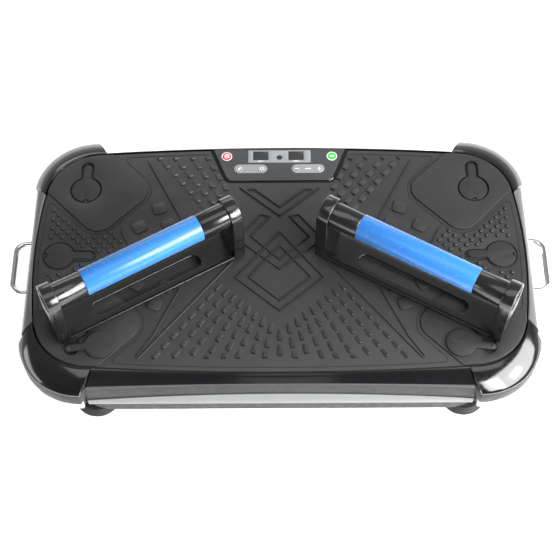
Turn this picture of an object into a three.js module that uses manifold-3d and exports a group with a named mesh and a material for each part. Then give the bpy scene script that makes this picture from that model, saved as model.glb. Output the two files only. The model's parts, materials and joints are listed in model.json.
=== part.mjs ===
// Vibration plate: a low rocking exercise platform with two removable push-up handles.
// Millimetres, +Z up, +Y to the rear, +X to the right of a person facing the front fascia.
// The origin is on the floor under the centre of the deck.
import * as THREE from 'three';
import { mergeVertices } from 'three/addons/utils/BufferGeometryUtils.js';
import Module from 'manifold-3d';

const wasm = await Module();
wasm.setup();

// ---------------------------------------------------------------- driving dimensions
const GAP = 0.3;                       // between pieces that touch

// Heights
const DECK_TOP = 120;                  // top of the rubber mat
const MAT_THICKNESS = 4;
const MAT_BOTTOM = DECK_TOP - MAT_THICKNESS;
const PLATE_TOP = MAT_BOTTOM - GAP;    // deck plate under the mat
const PLATE_BOTTOM = 100;
const SEAM_Z = 118.5;                  // upper edge of the trim round the mat
const LIP_Z = 100;                     // outer lip of the corner bumpers
const BAND_BOTTOM = 74;                // lower edge of the bumpers' outer band
const SKIRT_BOTTOM = 49.5;             // lower edge of the deck's skirt
const TUB_BOTTOM = 15;
const TUB_TOP = 62;
const FOOT_HEIGHT = TUB_BOTTOM - GAP;

// Mat outline in plan: four shallow arcs joined by round corners
const MAT_HALF_X = 342;
const MAT_HALF_Y = 182;
const SIDE_BOW = { chord: 97, rise: 7 };
const END_BOW = { chord: 247, rise: 8 };
const MAT_CORNER_R = 78;
const TRIM_CLEARANCE = 1.3;            // mat edge to the trim pieces

// Outer walls
const SIDE_X = 350;
const WALL = 3.5;
const FASCIA_Y = 193.5;
const FASCIA_THICKNESS = 3;
const FASCIA_HALF_X = 258.4;
const FASCIA_TOP = { end: 92, crown: 14 };
const TRIM_TOP = { end: 62, crown: 18 };
const TRIM_THICKNESS = 1.2;
const BEZEL = { innerHalf: 248.6, outerHalf: 258.8, rim: 5, bottom: 88 };
const SIDE_WALL = { innerHalf: 102.6, outerHalf: 117.6, shoulder: 115.5, brow: 108, ledge: 104, root: 106 };
const BUMPER = {
  innerFrom: THREE.MathUtils.degToRad(7.7), innerTo: THREE.MathUtils.degToRad(94.3),
  outerFrom: THREE.MathUtils.degToRad(6.5), outerTo: THREE.MathUtils.degToRad(90),
  shoulder: 111.5, root: 106, skirtBottom: 51.5, skirtThickness: 3, ceiling: 92,
};
const BUMPER_CENTRE = { x: 268, y: 118 };
const BUMPER_R = 88;
const BUMPER_SKIRT_INSET = 4;

// Base tub
const TUB_HALF_X = 345;
const TUB_HALF_Y = 189;
const TUB_CORNER_R = 80;
const TUB_WALL = 3;
const TUB_FLOOR = TUB_BOTTOM + TUB_WALL;
const APRON = { topHalf: 62, bottomHalf: 58, top: 26, bottom: 7 };
const FOOT_X = 256;
const FOOT_Y = 161;
const FOOT_R = 28;
const FOOT_WAIST_R = 27;
const FOOT_TOP_R = 23;

// Mains inlet and rocker switch in the rear wall of the tub
const INLET = {
  x: 180, z: 33, halfX: 14, halfZ: 10, depth: 22, cavityHalfX: 11.5, cavityHalfZ: 7.5, cavityDepth: 15,
  flangeHalfX: 18, flangeHalfZ: 13, flangeThickness: 1.1,
};
const SWITCH = {
  x: 140, z: 33.5, halfX: 9.5, halfZ: 6.5, depth: 7, pressed: 0.4, waist: -0.9, raised: 1.2,
  clearanceX: 0.8, clearanceZ: 1,
};

// Handle sockets in the deck and their rubber covers
const SOCKET_R = 23.8;
const SOCKET_SLOT_HALF = 9;
const POCKET_R = 19.5;
const POCKET_FLOOR = 102;
const COVER_R = 20;
const COVER_THICKNESS = 3.2;
const COVER_TONGUE_HALF = 5;
const COVER_NOTCH = { r: 5, depth: 1.2 };
const COVER_PEG_R = 3.5;
const SOCKETS = {
  rear: { x: 278, y: 110, turn: Math.PI / 2, reach: 48 },
  middle: { x: 308, y: 0, turn: Math.PI, reach: 51 },
  front: { x: 279, y: -108, turn: -Math.PI / 2, reach: 47 },
};
const COVER_TIP_CLEARANCE = 4;         // cover tongue tip to the end of its slot
const OPEN_COVER = { anchorX: 283, anchorY: -146, discX: 241.5, discY: -140 };

// Push-up handles, measured along the handle from its locking foot
const HANDLE_TURN = THREE.MathUtils.degToRad(29.7);
const HANDLE_OUTER = -28.7;
const HANDLE_INNER = 253.3;
const HANDLE_MIDDLE = (HANDLE_OUTER + HANDLE_INNER) / 2;
const POST_THICKNESS = 16.5;
const HANDLE_HALF_WIDTH = 22;
const POST_FOOT_HALF = 23.5;
const HANDLE_FLOOR = 124;
const HANDLE_PLATE_TOP = 128;
const GRIP_Z = 207;
const GRIP_R = 17.5;
const GRIP_CORE_R = 15;
const GRIP_BORE_R = 14.5;
const GRIP_BORE_DEPTH = 26;
const SLEEVE_HALF = 85;
const POST_TOP_R = 22;
const SLOT_LENGTH = 165;
const SLOT_HALF_WIDTH = 11;
const INNER_WALL = 8;                  // left in front of the tube in the inner post
const LOCK = { pinR: 17.5, pinBottom: 103, plugR: 19, plugBottom: 105, flangeR: 21.5 };
const REST_PAD = { r: 9, inset: 12 };

// Side loops for resistance bands
const LOOP_Z = 86;
const LOOP_HALF = 40;
const LOOP_REACH = 376;
const LOOP_ROD_R = 4;
const LOOP_BEND_R = 15;
const LOOP_FLANGE = { r: 10, thickness: 3 };
const RECESS_HALF = 54;
const RECESS_R = 13;
const RECESS_DEPTH = 2;

// Control panel
const PANEL_FRONT_Y = 125;
const PANEL_REAR_Y = 180;
const PANEL_FRONT_HALF = 76;
const PANEL_REAR_HALF = 98;
const PANEL_CORNER_R = 10;
const PANEL_TOP = 119.6;
const PANEL_GAP = 1.6;
const BUTTON_TOP = 120.3;
const BUTTON_HEIGHT = 3.4;
const BUTTON_CLEARANCE = 0.5;
const DISPLAY = { halfX: 45.5, front: 156, rear: 177.5, thickness: 1.7 };
const BUTTONS = [
  { name: 'power_button', x: -76.5, y: 167, r: 6.3, colour: 0xe23b3b },
  { name: 'start_button', x: 76.5, y: 167, r: 6.3, colour: 0x35b34a },
  { name: 'mode_button', x: -57.8, y: 145, r: 6, colour: 0x9a9a9a },
  { name: 'timer_button', x: -25.2, y: 145, r: 6, colour: 0x9a9a9a },
  { name: 'minus_button', x: 25.2, y: 145, r: 6, colour: 0x9a9a9a },
  { name: 'plus_button', x: 57.8, y: 145, r: 6, colour: 0x9a9a9a },
];

// Drive
const PIVOT_Z = 60;
const PIVOT_R = 8;
const PIVOT_HALF = 150;
const PIVOT_BLOCK = { y: 140, halfWidth: 8, soleHalf: 24, headR: 15 };
const DECK_LUG = { y: 120, halfWidth: 7, rootHalf: 14, headR: 13 };
const BUFFER = { x: 300, baseR: 20, baseTop: 26, shoulder: 34, waistR: 14, flare: 76, headR: 18, top: 88 };
const CRANK_X = -150;
const CRANK_Z = 52;
const CRANK_THROW = 3.1;               // gives 1.2 degrees of rock each way
const JOURNAL_R = 6;
const ECCENTRIC_R = 9.5;
const ROD_Y = 42;
const ROD_LENGTH = 27;
const ROD = { halfWidth: 3.5, bigEndR: 14, smallEndR: 13.5, smallBoreR: 10.5, webHalf: 9 };
const ROD_PIN = { r: 3, earHalf: 8, earBottom: 70, earFront: 47, earRear: 53 };
const BRACKET = { soleHalf: 26, soleTop: 21.5, earHalf: 18, earR: 11, front: [22, 31], rear: [48.5, 54] };
const MOTOR_X = -62;
const MOTOR_Z = 50;
const MOTOR_R = 28;
const MOTOR = {
  front: -50, rear: 38, noseR: 14, nose: 50, saddleHalf: 34, saddleFront: -40, saddleRear: 30, saddleTop: 30,
};
const MOTOR_SHAFT_R = 4;
const PULLEY_Y = 62;
const PULLEY_WIDTH = 12;
const SMALL_PULLEY_R = 10;
const LARGE_PULLEY_R = 30;
const PULLEY_FLANGE = { lip: 4, thickness: 1.5 };
const PULLEY_HOLES = { count: 3, r: 7, circle: 18 };
const BELT_THICKNESS = 2.5;
const BELT_HALF_WIDTH = 4;
const BELT_CLEARANCE = 0.4;
const BOARD = { left: 110, right: 220, front: 20, rear: 100, bottom: 26, top: 28 };

// ---------------------------------------------------------------- materials
const finish = (color, roughness, metalness = 0) =>
  new THREE.MeshStandardMaterial({ color, roughness, metalness });
const RUBBER = finish(0x4b4b4b, 0.75);
const DARK_RUBBER = finish(0x2b2b2b, 0.8);
const GLOSS_BLACK = finish(0x151515, 0.18);
const SILVER = finish(0xb9bbbd, 0.35, 0.2);
const GREY = finish(0x8b8d8f, 0.45);
const PANEL_GREY = finish(0x5c5c5c, 0.45);
const DARK = finish(0x1d1d1e, 0.5);
const BLUE = finish(0x469bf5, 0.45);
const CHROME = finish(0xe6e6e6, 0.12, 1);
const STEEL = finish(0x8e9296, 0.4, 0.9);
const MOTOR_BLACK = finish(0x33363a, 0.5, 0.4);
const BOARD_GREEN = finish(0x1f6b3a, 0.6);

// ---------------------------------------------------------------- helpers
const group = new THREE.Group();

function add(name, geometry, material) {
  const mesh = new THREE.Mesh(geometry, material);
  mesh.name = name;
  group.add(mesh);
  return mesh;
}

function toSolid(geometry) {
  const bare = geometry.clone();
  bare.deleteAttribute('normal');
  bare.deleteAttribute('uv');
  const merged = mergeVertices(bare, 1e-4);
  return new wasm.Manifold(new wasm.Mesh({
    numProp: 3,
    vertProperties: new Float32Array(merged.attributes.position.array),
    triVerts: new Uint32Array(merged.index.array),
  }));
}

function toGeometry(solid) {
  const { vertProperties, triVerts, numProp } = solid.getMesh();
  const position = new Float32Array((vertProperties.length / numProp) * 3);
  for (let i = 0; i < position.length / 3; i += 1) {
    for (let k = 0; k < 3; k += 1) position[3 * i + k] = vertProperties[numProp * i + k];
  }
  const geometry = new THREE.BufferGeometry();
  geometry.setAttribute('position', new THREE.BufferAttribute(position, 3));
  geometry.setIndex(new THREE.BufferAttribute(new Uint32Array(triVerts), 1));
  geometry.computeVertexNormals();
  return geometry;
}

/** Joins the geometries of `parts`, then cuts away those of `cuts`. */
function carve(parts, cuts = []) {
  let solid = toSolid(parts[0]);
  for (const part of parts.slice(1)) solid = solid.add(toSolid(part));
  for (const cut of cuts) solid = solid.subtract(toSolid(cut));
  return toGeometry(solid);
}

function box(x0, x1, y0, y1, z0, z1) {
  const geometry = new THREE.BoxGeometry(x1 - x0, y1 - y0, z1 - z0);
  return geometry.translate((x0 + x1) / 2, (y0 + y1) / 2, (z0 + z1) / 2);
}

/** Extrudes a plan outline from z0 to z1. */
function prism(shape, z0, z1, curveSegments = 8) {
  const options = { depth: z1 - z0, bevelEnabled: false, curveSegments };
  return new THREE.ExtrudeGeometry(shape, options).translate(0, 0, z0);
}

/** Extrudes an outline drawn in X and Z along Y, from y0 to y1. */
function upright(shape, y0, y1, curveSegments = 5) {
  const options = { depth: y1 - y0, bevelEnabled: false, curveSegments };
  return new THREE.ExtrudeGeometry(shape, options).rotateX(Math.PI / 2).translate(0, y1, 0);
}

/** Extrudes an outline drawn in Y and Z along X, from x0 to x1. */
function across(shape, x0, x1, curveSegments = 8) {
  const options = { depth: x1 - x0, bevelEnabled: false, curveSegments };
  return new THREE.ExtrudeGeometry(shape, options).rotateX(Math.PI / 2).rotateZ(Math.PI / 2)
    .translate(x0, 0, 0);
}

/** Cylinder from z0 to z1 on a vertical axis. */
function disc(x, y, r, z0, z1, sides = 20) {
  return new THREE.CylinderGeometry(r, r, z1 - z0, sides).rotateX(Math.PI / 2)
    .translate(x, y, (z0 + z1) / 2);
}

/** Cylinder from y0 to y1 on an axis along Y. */
function axle(x, z, r, y0, y1, sides = 16) {
  return new THREE.CylinderGeometry(r, r, y1 - y0, sides).translate(x, (y0 + y1) / 2, z);
}

/** Turns [radius, height] pairs about a vertical axis at (x, y). */
function turned(profile, x, y, sides = 24) {
  const points = profile.map(([r, h]) => new THREE.Vector2(r, h));
  return outward(new THREE.LatheGeometry(points, sides).rotateX(Math.PI / 2).translate(x, y, 0));
}

/** Closed body through a row of sections, which are outlines with equal numbers of points. */
function loft(sections) {
  const ring = sections[0].length;
  const position = sections.flat().flatMap((p) => [p.x, p.y, p.z]);
  const index = [];
  for (let s = 0; s + 1 < sections.length; s += 1) {
    for (let i = 0; i < ring; i += 1) {
      const a = s * ring + i;
      const b = s * ring + ((i + 1) % ring);
      index.push(a, b, b + ring, a, b + ring, a + ring);
    }
  }
  const last = (sections.length - 1) * ring;
  for (const [p, q, r] of capTriangles(sections[0])) {
    index.push(r, q, p, last + p, last + q, last + r);
  }
  const geometry = new THREE.BufferGeometry();
  geometry.setAttribute('position', new THREE.Float32BufferAttribute(position, 3));
  geometry.setIndex(index);
  return outward(geometry);
}

/** Triangles that fill a nearly flat upright section, wound the way its points run. */
function capTriangles(section) {
  const first = section[0];
  const widest = section.reduce((far, p) =>
    (Math.hypot(p.x - first.x, p.y - first.y) > Math.hypot(far.x - first.x, far.y - first.y) ? p : far));
  const along = new THREE.Vector2(widest.x - first.x, widest.y - first.y).normalize();
  const flat = section.map((p) =>
    new THREE.Vector2((p.x - first.x) * along.x + (p.y - first.y) * along.y, p.z));
  const turns = THREE.ShapeUtils.isClockWise(flat);
  const faces = THREE.ShapeUtils.triangulateShape(turns ? [...flat].reverse() : flat, []);
  const n = flat.length - 1;
  return turns ? faces.map(([p, q, r]) => [n - r, n - q, n - p]) : faces;
}

/** Turns a closed body's faces outward if its volume comes out negative. */
function outward(geometry) {
  const p = geometry.attributes.position;
  const index = geometry.index.array;
  const [a, b, c] = [new THREE.Vector3(), new THREE.Vector3(), new THREE.Vector3()];
  let volume = 0;
  for (let i = 0; i < index.length; i += 3) {
    a.fromBufferAttribute(p, index[i]);
    b.fromBufferAttribute(p, index[i + 1]);
    c.fromBufferAttribute(p, index[i + 2]);
    volume += a.dot(b.cross(c));
  }
  if (volume < 0) {
    for (let i = 0; i < index.length; i += 3) [index[i], index[i + 1]] = [index[i + 1], index[i]];
  }
  geometry.computeVertexNormals();
  return geometry;
}

/** Mirror image of a geometry in X and Y as asked, with its faces still outward. */
function mirrored(geometry, sx, sy) {
  const copy = geometry.clone().scale(sx, sy, 1);
  if (sx * sy < 0) {
    const index = copy.index.array;
    for (let i = 0; i < index.length; i += 3) [index[i], index[i + 1]] = [index[i + 1], index[i]];
  }
  copy.computeVertexNormals();
  return copy;
}

const arcRadius = ({ chord, rise }) => (chord ** 2 + rise ** 2) / (2 * rise);
const SIDE_R = arcRadius(SIDE_BOW);
const END_R = arcRadius(END_BOW);
const SIDE_CENTRE = MAT_HALF_X - SIDE_R;
const END_CENTRE = MAT_HALF_Y - END_R;
const CORNER = cornerCentre();
const SIDE_ANGLE = Math.atan2(CORNER.y, CORNER.x - SIDE_CENTRE);
const END_ANGLE = Math.atan2(CORNER.x, CORNER.y - END_CENTRE);

/** Centre of the mat's corner arc, which touches the side arc and the end arc from inside. */
function cornerCentre() {
  const toSide = SIDE_R - MAT_CORNER_R;
  const toEnd = END_R - MAT_CORNER_R;
  const span = Math.hypot(SIDE_CENTRE, END_CENTRE);
  const along = (toSide ** 2 - toEnd ** 2 + span ** 2) / (2 * span);
  const off = Math.sqrt(toSide ** 2 - along ** 2);
  const ux = -SIDE_CENTRE / span;
  const uy = END_CENTRE / span;
  return { x: SIDE_CENTRE + along * ux - off * uy, y: along * uy + off * ux };
}

/** The mat's plan outline, moved outward by `offset`. */
function matOutline(offset) {
  const quarter = Math.PI / 2;
  const shape = new THREE.Shape();
  const side = (sign, from) => shape.absarc(
    sign * SIDE_CENTRE, 0, SIDE_R + offset, from - SIDE_ANGLE, from + SIDE_ANGLE, false);
  const end = (sign, from) => shape.absarc(
    0, sign * END_CENTRE, END_R + offset, from - END_ANGLE, from + END_ANGLE, false);
  const corner = (sx, sy, from, to) => shape.absarc(
    sx * CORNER.x, sy * CORNER.y, MAT_CORNER_R + offset, from, to, false);
  side(1, 0);
  corner(1, 1, SIDE_ANGLE, quarter - END_ANGLE);
  end(1, quarter);
  corner(-1, 1, quarter + END_ANGLE, 2 * quarter - SIDE_ANGLE);
  side(-1, 2 * quarter);
  corner(-1, -1, 2 * quarter + SIDE_ANGLE, 3 * quarter - END_ANGLE);
  end(-1, 3 * quarter);
  corner(1, -1, 3 * quarter + END_ANGLE, 4 * quarter - SIDE_ANGLE);
  return shape;
}

const endY = (x, offset) => END_CENTRE + Math.sqrt((END_R + offset) ** 2 - x ** 2);
const sideX = (y, offset) => SIDE_CENTRE + Math.sqrt((SIDE_R + offset) ** 2 - y ** 2);
const mix = (a, b, t) => a + (b - a) * t;
const crowned = (edge, t) => edge.end + edge.crown * (1 - t * t);
const ring = (points) => points.map(([x, y, z]) => new THREE.Vector3(x, y, z));

function roundedRectangle(halfX, halfY, r) {
  const shape = new THREE.Shape();
  const quarter = Math.PI / 2;
  shape.absarc(halfX - r, halfY - r, r, 0, quarter, false);
  shape.absarc(-halfX + r, halfY - r, r, quarter, 2 * quarter, false);
  shape.absarc(-halfX + r, -halfY + r, r, 2 * quarter, 3 * quarter, false);
  shape.absarc(halfX - r, -halfY + r, r, 3 * quarter, 4 * quarter, false);
  return shape;
}

const polygon = (corners) => new THREE.Shape(corners.map(([a, b]) => new THREE.Vector2(a, b)));

/** Slot with round ends along local X. */
function stadium(half, r) {
  const shape = new THREE.Shape();
  shape.absarc(half - r, 0, r, -Math.PI / 2, Math.PI / 2, false);
  shape.absarc(-half + r, 0, r, Math.PI / 2, 1.5 * Math.PI, false);
  return shape;
}

/** Disc with a round-ended tongue along local X, whose tip is `reach` from the disc's centre. */
function keyhole(r, tongueHalf, reach) {
  const open = Math.asin(tongueHalf / r);
  const shape = new THREE.Shape();
  shape.absarc(0, 0, r, open, 2 * Math.PI - open, false);
  shape.absarc(reach - tongueHalf, 0, tongueHalf, -Math.PI / 2, Math.PI / 2, false);
  return shape;
}

const placed = (geometry, x, y, turn) => geometry.rotateZ(turn).translate(x, y, 0);
const socketTurn = (socket, sx) => (sx > 0 ? socket.turn : Math.PI - socket.turn);

// ---------------------------------------------------------------- base
function baseTub() {
  const { topHalf, bottomHalf, top, bottom } = APRON;
  const shell = prism(roundedRectangle(TUB_HALF_X, TUB_HALF_Y, TUB_CORNER_R), TUB_BOTTOM, TUB_TOP, 5);
  const hollow = prism(roundedRectangle(
    TUB_HALF_X - TUB_WALL, TUB_HALF_Y - TUB_WALL, TUB_CORNER_R - TUB_WALL), TUB_FLOOR, TUB_TOP + 1, 5);
  const apron = polygon([[-topHalf, top], [-bottomHalf, bottom], [bottomHalf, bottom], [topHalf, top]]);
  const apronPlate = upright(apron, -TUB_HALF_Y, -TUB_HALF_Y + TUB_WALL);
  const inletHole = wallHole(INLET, INLET.halfX + GAP, INLET.halfZ + GAP);
  const switchHole = wallHole(SWITCH, SWITCH.halfX + SWITCH.clearanceX, SWITCH.halfZ + SWITCH.clearanceZ);
  return carve([shell, apronPlate], [hollow, inletHole, switchHole]);
}

/** Cutter for a rectangular hole through the tub's rear wall. */
function wallHole({ x, z }, halfX, halfZ) {
  return box(x - halfX, x + halfX, TUB_HALF_Y - 2 * TUB_WALL, TUB_HALF_Y + 1, z - halfZ, z + halfZ);
}

function foot(x, y) {
  const profile = [[0, 0], [FOOT_R - 2, 0], [FOOT_R, 2], [FOOT_WAIST_R, 8], [FOOT_TOP_R, FOOT_HEIGHT],
    [0, FOOT_HEIGHT]];
  return turned(profile, x, y, 24);
}

function pivotBlock(side) {
  const { y, halfWidth, soleHalf, headR } = PIVOT_BLOCK;
  const cheek = new THREE.Shape();
  cheek.moveTo(-soleHalf, TUB_FLOOR + GAP);
  cheek.lineTo(soleHalf, TUB_FLOOR + GAP);
  cheek.absarc(0, PIVOT_Z, headR, 0, Math.PI, false);
  return carve([upright(cheek, side * y - halfWidth, side * y + halfWidth)],
    [axle(0, PIVOT_Z, PIVOT_R + GAP, side * y - halfWidth - 1, side * y + halfWidth + 1)]);
}

function buffer(side) {
  const { x, baseR, baseTop, shoulder, waistR, flare, headR, top } = BUFFER;
  const bottom = TUB_FLOOR + GAP;
  return turned([[0, bottom], [baseR, bottom], [baseR, baseTop], [waistR, shoulder], [waistR, flare],
    [headR, top], [0, top]], side * x, 0, 16);
}

function motor() {
  const can = axle(MOTOR_X, MOTOR_Z, MOTOR_R, MOTOR.front, MOTOR.rear, 28);
  const nose = axle(MOTOR_X, MOTOR_Z, MOTOR.noseR, MOTOR.rear - 1, MOTOR.nose, 16);
  const saddle = box(MOTOR_X - MOTOR.saddleHalf, MOTOR_X + MOTOR.saddleHalf,
    MOTOR.saddleFront, MOTOR.saddleRear, TUB_FLOOR + GAP, MOTOR.saddleTop);
  return carve([can, nose, saddle]);
}

function smallPulley() {
  const y0 = PULLEY_Y - PULLEY_WIDTH / 2;
  const y1 = PULLEY_Y + PULLEY_WIDTH / 2;
  const { lip, thickness } = PULLEY_FLANGE;
  const body = axle(MOTOR_X, MOTOR_Z, SMALL_PULLEY_R, y0, y1);
  const flanges = [y0, y1 - thickness].map((y) =>
    axle(MOTOR_X, MOTOR_Z, SMALL_PULLEY_R + lip, y, y + thickness));
  const shaft = axle(MOTOR_X, MOTOR_Z, MOTOR_SHAFT_R, MOTOR.nose + GAP, y1 + 3, 12);
  return carve([body, ...flanges, shaft]);
}

function largePulley() {
  const y0 = PULLEY_Y - PULLEY_WIDTH / 2;
  const y1 = PULLEY_Y + PULLEY_WIDTH / 2;
  const body = axle(CRANK_X, CRANK_Z, LARGE_PULLEY_R, y0, y1, 28);
  const cuts = [axle(CRANK_X, CRANK_Z, JOURNAL_R + GAP, y0 - 1, y1 + 1)];
  const { count, r, circle } = PULLEY_HOLES;
  for (let i = 0; i < count; i += 1) {
    const angle = (i * 2 * Math.PI) / count;
    const [x, z] = [CRANK_X + circle * Math.cos(angle), CRANK_Z + circle * Math.sin(angle)];
    cuts.push(axle(x, z, r, y0 - 1, y1 + 1, 12));
  }
  return carve([body], cuts);
}

function crankshaft() {
  const journal = axle(CRANK_X, CRANK_Z, JOURNAL_R, BRACKET.front[0] - 2, PULLEY_Y + PULLEY_WIDTH - 2, 16);
  const half = ROD.halfWidth + 1.5;
  const eccentric = axle(CRANK_X + CRANK_THROW, CRANK_Z, ECCENTRIC_R, ROD_Y - half, ROD_Y + half);
  return carve([journal, eccentric]);
}

function crankBracket() {
  const { soleHalf, soleTop, earHalf, earR, front, rear } = BRACKET;
  const sole = box(CRANK_X - soleHalf, CRANK_X + soleHalf, front[0], rear[1], TUB_FLOOR + GAP, soleTop);
  const ears = [front, rear].map(([y0, y1]) => {
    const ear = new THREE.Shape();
    ear.moveTo(CRANK_X - earHalf, soleTop - 1.5);
    ear.lineTo(CRANK_X + earHalf, soleTop - 1.5);
    ear.absarc(CRANK_X, CRANK_Z, earR, 0, Math.PI, false);
    return upright(ear, y0, y1);
  });
  return carve([sole, ...ears], [axle(CRANK_X, CRANK_Z, JOURNAL_R + GAP, front[0] - 2, rear[1] + 2)]);
}

function connectingRod() {
  const { halfWidth, bigEndR, smallEndR, smallBoreR, webHalf } = ROD;
  const x = CRANK_X + CRANK_THROW;
  const top = CRANK_Z + ROD_LENGTH;
  const [y0, y1] = [ROD_Y - halfWidth, ROD_Y + halfWidth];
  const eyes = [axle(x, CRANK_Z, bigEndR, y0, y1), axle(x, top, smallEndR, y0, y1)];
  const web = box(x - webHalf, x + webHalf, y0, y1, CRANK_Z, top);
  const bores = [axle(x, CRANK_Z, ECCENTRIC_R + GAP, y0 - 1, y1 + 1),
    axle(x, top, smallBoreR, y0 - 1, y1 + 1)];
  return carve([...eyes, web], bores);
}

/** Loop of one thickness round both pulleys. */
function belt() {
  const run = CRANK_X - MOTOR_X;
  const rise = CRANK_Z - MOTOR_Z;
  const distance = Math.hypot(run, rise);
  const lean = Math.acos((LARGE_PULLEY_R - SMALL_PULLEY_R) / distance);
  const heading = Math.atan2(-rise, -run);
  const loop = (target, offset) => {
    const from = heading + lean;
    const to = heading - lean;
    target.absarc(CRANK_X, CRANK_Z, LARGE_PULLEY_R + offset, from, to + 2 * Math.PI, false);
    target.absarc(MOTOR_X, MOTOR_Z, SMALL_PULLEY_R + offset, to, from, false);
    return target;
  };
  const shape = loop(new THREE.Shape(), BELT_CLEARANCE + BELT_THICKNESS);
  shape.holes.push(loop(new THREE.Path(), BELT_CLEARANCE));
  return upright(shape, PULLEY_Y - BELT_HALF_WIDTH, PULLEY_Y + BELT_HALF_WIDTH, 6);
}

function controllerBoard() {
  const { left, right, front, rear, bottom, top } = BOARD;
  const board = box(left, right, front, rear, bottom, top);
  const posts = [[left + 5, front + 5], [right - 5, front + 5], [left + 5, rear - 5], [right - 5, rear - 5]]
    .map(([x, y]) => disc(x, y, 4, TUB_FLOOR + GAP, bottom + 0.5, 8));
  const transformer = box(left + 15, left + 50, front + 15, front + 45, top - 0.5, top + 28);
  const heatSink = box(right - 40, right - 12, rear - 40, rear - 10, top - 0.5, top + 22);
  const capacitor = disc(right - 38, front + 18, 9, top - 0.5, top + 26, 12);
  return carve([board, ...posts, transformer, heatSink, capacitor]);
}

function powerInlet() {
  const block = (halfX, halfZ, y0, y1) =>
    box(INLET.x - halfX, INLET.x + halfX, y0, y1, INLET.z - halfZ, INLET.z + halfZ);
  const body = block(INLET.halfX, INLET.halfZ, TUB_HALF_Y - INLET.depth, TUB_HALF_Y + 0.5);
  const face = TUB_HALF_Y + GAP;
  const flange = block(INLET.flangeHalfX, INLET.flangeHalfZ, face, face + INLET.flangeThickness);
  const cavity = block(INLET.cavityHalfX, INLET.cavityHalfZ, TUB_HALF_Y - INLET.cavityDepth, face + 3);
  return carve([body, flange], [cavity]);
}

/** Rocker outline drawn in Y and Z, with one half pressed in and the other standing out. */
function powerSwitch() {
  const { x, z, halfX, halfZ, depth, pressed, waist, raised } = SWITCH;
  const back = TUB_HALF_Y - depth;
  const rocker = polygon([[back, z - halfZ], [TUB_HALF_Y + pressed, z - halfZ], [TUB_HALF_Y + waist, z],
    [TUB_HALF_Y + raised, z + halfZ], [back, z + halfZ]]);
  return across(rocker, x - halfX, x + halfX);
}

// ---------------------------------------------------------------- deck
function deckPlate() {
  const slab = prism(matOutline(-0.5), PLATE_BOTTOM, PLATE_TOP, 3);
  const lugs = [-1, 1].map((side) => {
    const lug = new THREE.Shape();
    lug.moveTo(DECK_LUG.rootHalf, PLATE_BOTTOM + 1);
    lug.lineTo(-DECK_LUG.rootHalf, PLATE_BOTTOM + 1);
    lug.absarc(0, PIVOT_Z, DECK_LUG.headR, Math.PI, 2 * Math.PI, false);
    return upright(lug, side * DECK_LUG.y - DECK_LUG.halfWidth, side * DECK_LUG.y + DECK_LUG.halfWidth);
  });
  const { r, earHalf, earBottom, earFront, earRear } = ROD_PIN;
  const rodEar = box(CRANK_X - earHalf, CRANK_X + earHalf, earFront, earRear, earBottom, PLATE_BOTTOM + 1);
  const rodPin = axle(CRANK_X, CRANK_Z + ROD_LENGTH, r, ROD_Y - ROD.halfWidth - 2.5, earFront + 1, 16);
  const bores = [-1, 1].map((side) => axle(0, PIVOT_Z, PIVOT_R + GAP,
    side * DECK_LUG.y - DECK_LUG.halfWidth - 1, side * DECK_LUG.y + DECK_LUG.halfWidth + 1));
  const pockets = [];
  for (const { x, y } of Object.values(SOCKETS)) {
    for (const sx of [-1, 1]) pockets.push(disc(sx * x, y, POCKET_R, POCKET_FLOOR, PLATE_TOP + 1, 16));
  }
  return carve([slab, ...lugs, rodEar, rodPin], [...bores, ...pockets]);
}

function panelOutline(offset, rearY) {
  const slope = (PANEL_REAR_HALF - PANEL_FRONT_HALF) / (PANEL_REAR_Y - PANEL_FRONT_Y);
  const r = PANEL_CORNER_R;
  const rearHalf = PANEL_REAR_HALF + slope * (rearY - PANEL_REAR_Y) + offset;
  const edgeLean = Math.atan(slope);
  const cx = PANEL_FRONT_HALF - r + slope * r;
  const shape = new THREE.Shape();
  shape.moveTo(rearHalf, rearY);
  shape.lineTo(-rearHalf, rearY);
  shape.absarc(-cx, PANEL_FRONT_Y + r, r + offset, Math.PI + edgeLean, 1.5 * Math.PI, false);
  shape.absarc(cx, PANEL_FRONT_Y + r, r + offset, 1.5 * Math.PI, 2 * Math.PI - edgeLean, false);
  return shape;
}

function mat() {
  const sheet = prism(matOutline(0), MAT_BOTTOM, DECK_TOP, 4);
  const cuts = [prism(panelOutline(PANEL_GAP, MAT_HALF_Y + 10), MAT_BOTTOM - 1, DECK_TOP + 1, 3)];
  for (const socket of Object.values(SOCKETS)) {
    const outline = keyhole(SOCKET_R, SOCKET_SLOT_HALF, socket.reach);
    for (const sx of [-1, 1]) {
      const hole = prism(outline, MAT_BOTTOM - 1, DECK_TOP + 1, 5);
      cuts.push(placed(hole, sx * socket.x, socket.y, socketTurn(socket, sx)));
    }
  }
  return carve([sheet], cuts);
}

function controlPanel() {
  const plate = prism(panelOutline(0, PANEL_REAR_Y), MAT_BOTTOM, PANEL_TOP, 3);
  const holes = BUTTONS.map(({ x, y, r }) =>
    disc(x, y, r + BUTTON_CLEARANCE, MAT_BOTTOM - 1, PANEL_TOP + 1, 16));
  const window = box(-DISPLAY.halfX - GAP, DISPLAY.halfX + GAP, DISPLAY.front - GAP, DISPLAY.rear + GAP,
    PANEL_TOP - DISPLAY.thickness, PANEL_TOP + 1);
  return carve([plate], [...holes, window]);
}

function displayWindow() {
  const z0 = PANEL_TOP - DISPLAY.thickness + GAP;
  return box(-DISPLAY.halfX, DISPLAY.halfX, DISPLAY.front, DISPLAY.rear, z0, PANEL_TOP + GAP);
}

function button({ x, y, r }) {
  const z0 = BUTTON_TOP - BUTTON_HEIGHT;
  const profile = [[0, z0], [r, z0], [r, BUTTON_TOP - 0.6], [r - 0.8, BUTTON_TOP], [0, BUTTON_TOP]];
  return turned(profile, x, y, 16);
}

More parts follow.
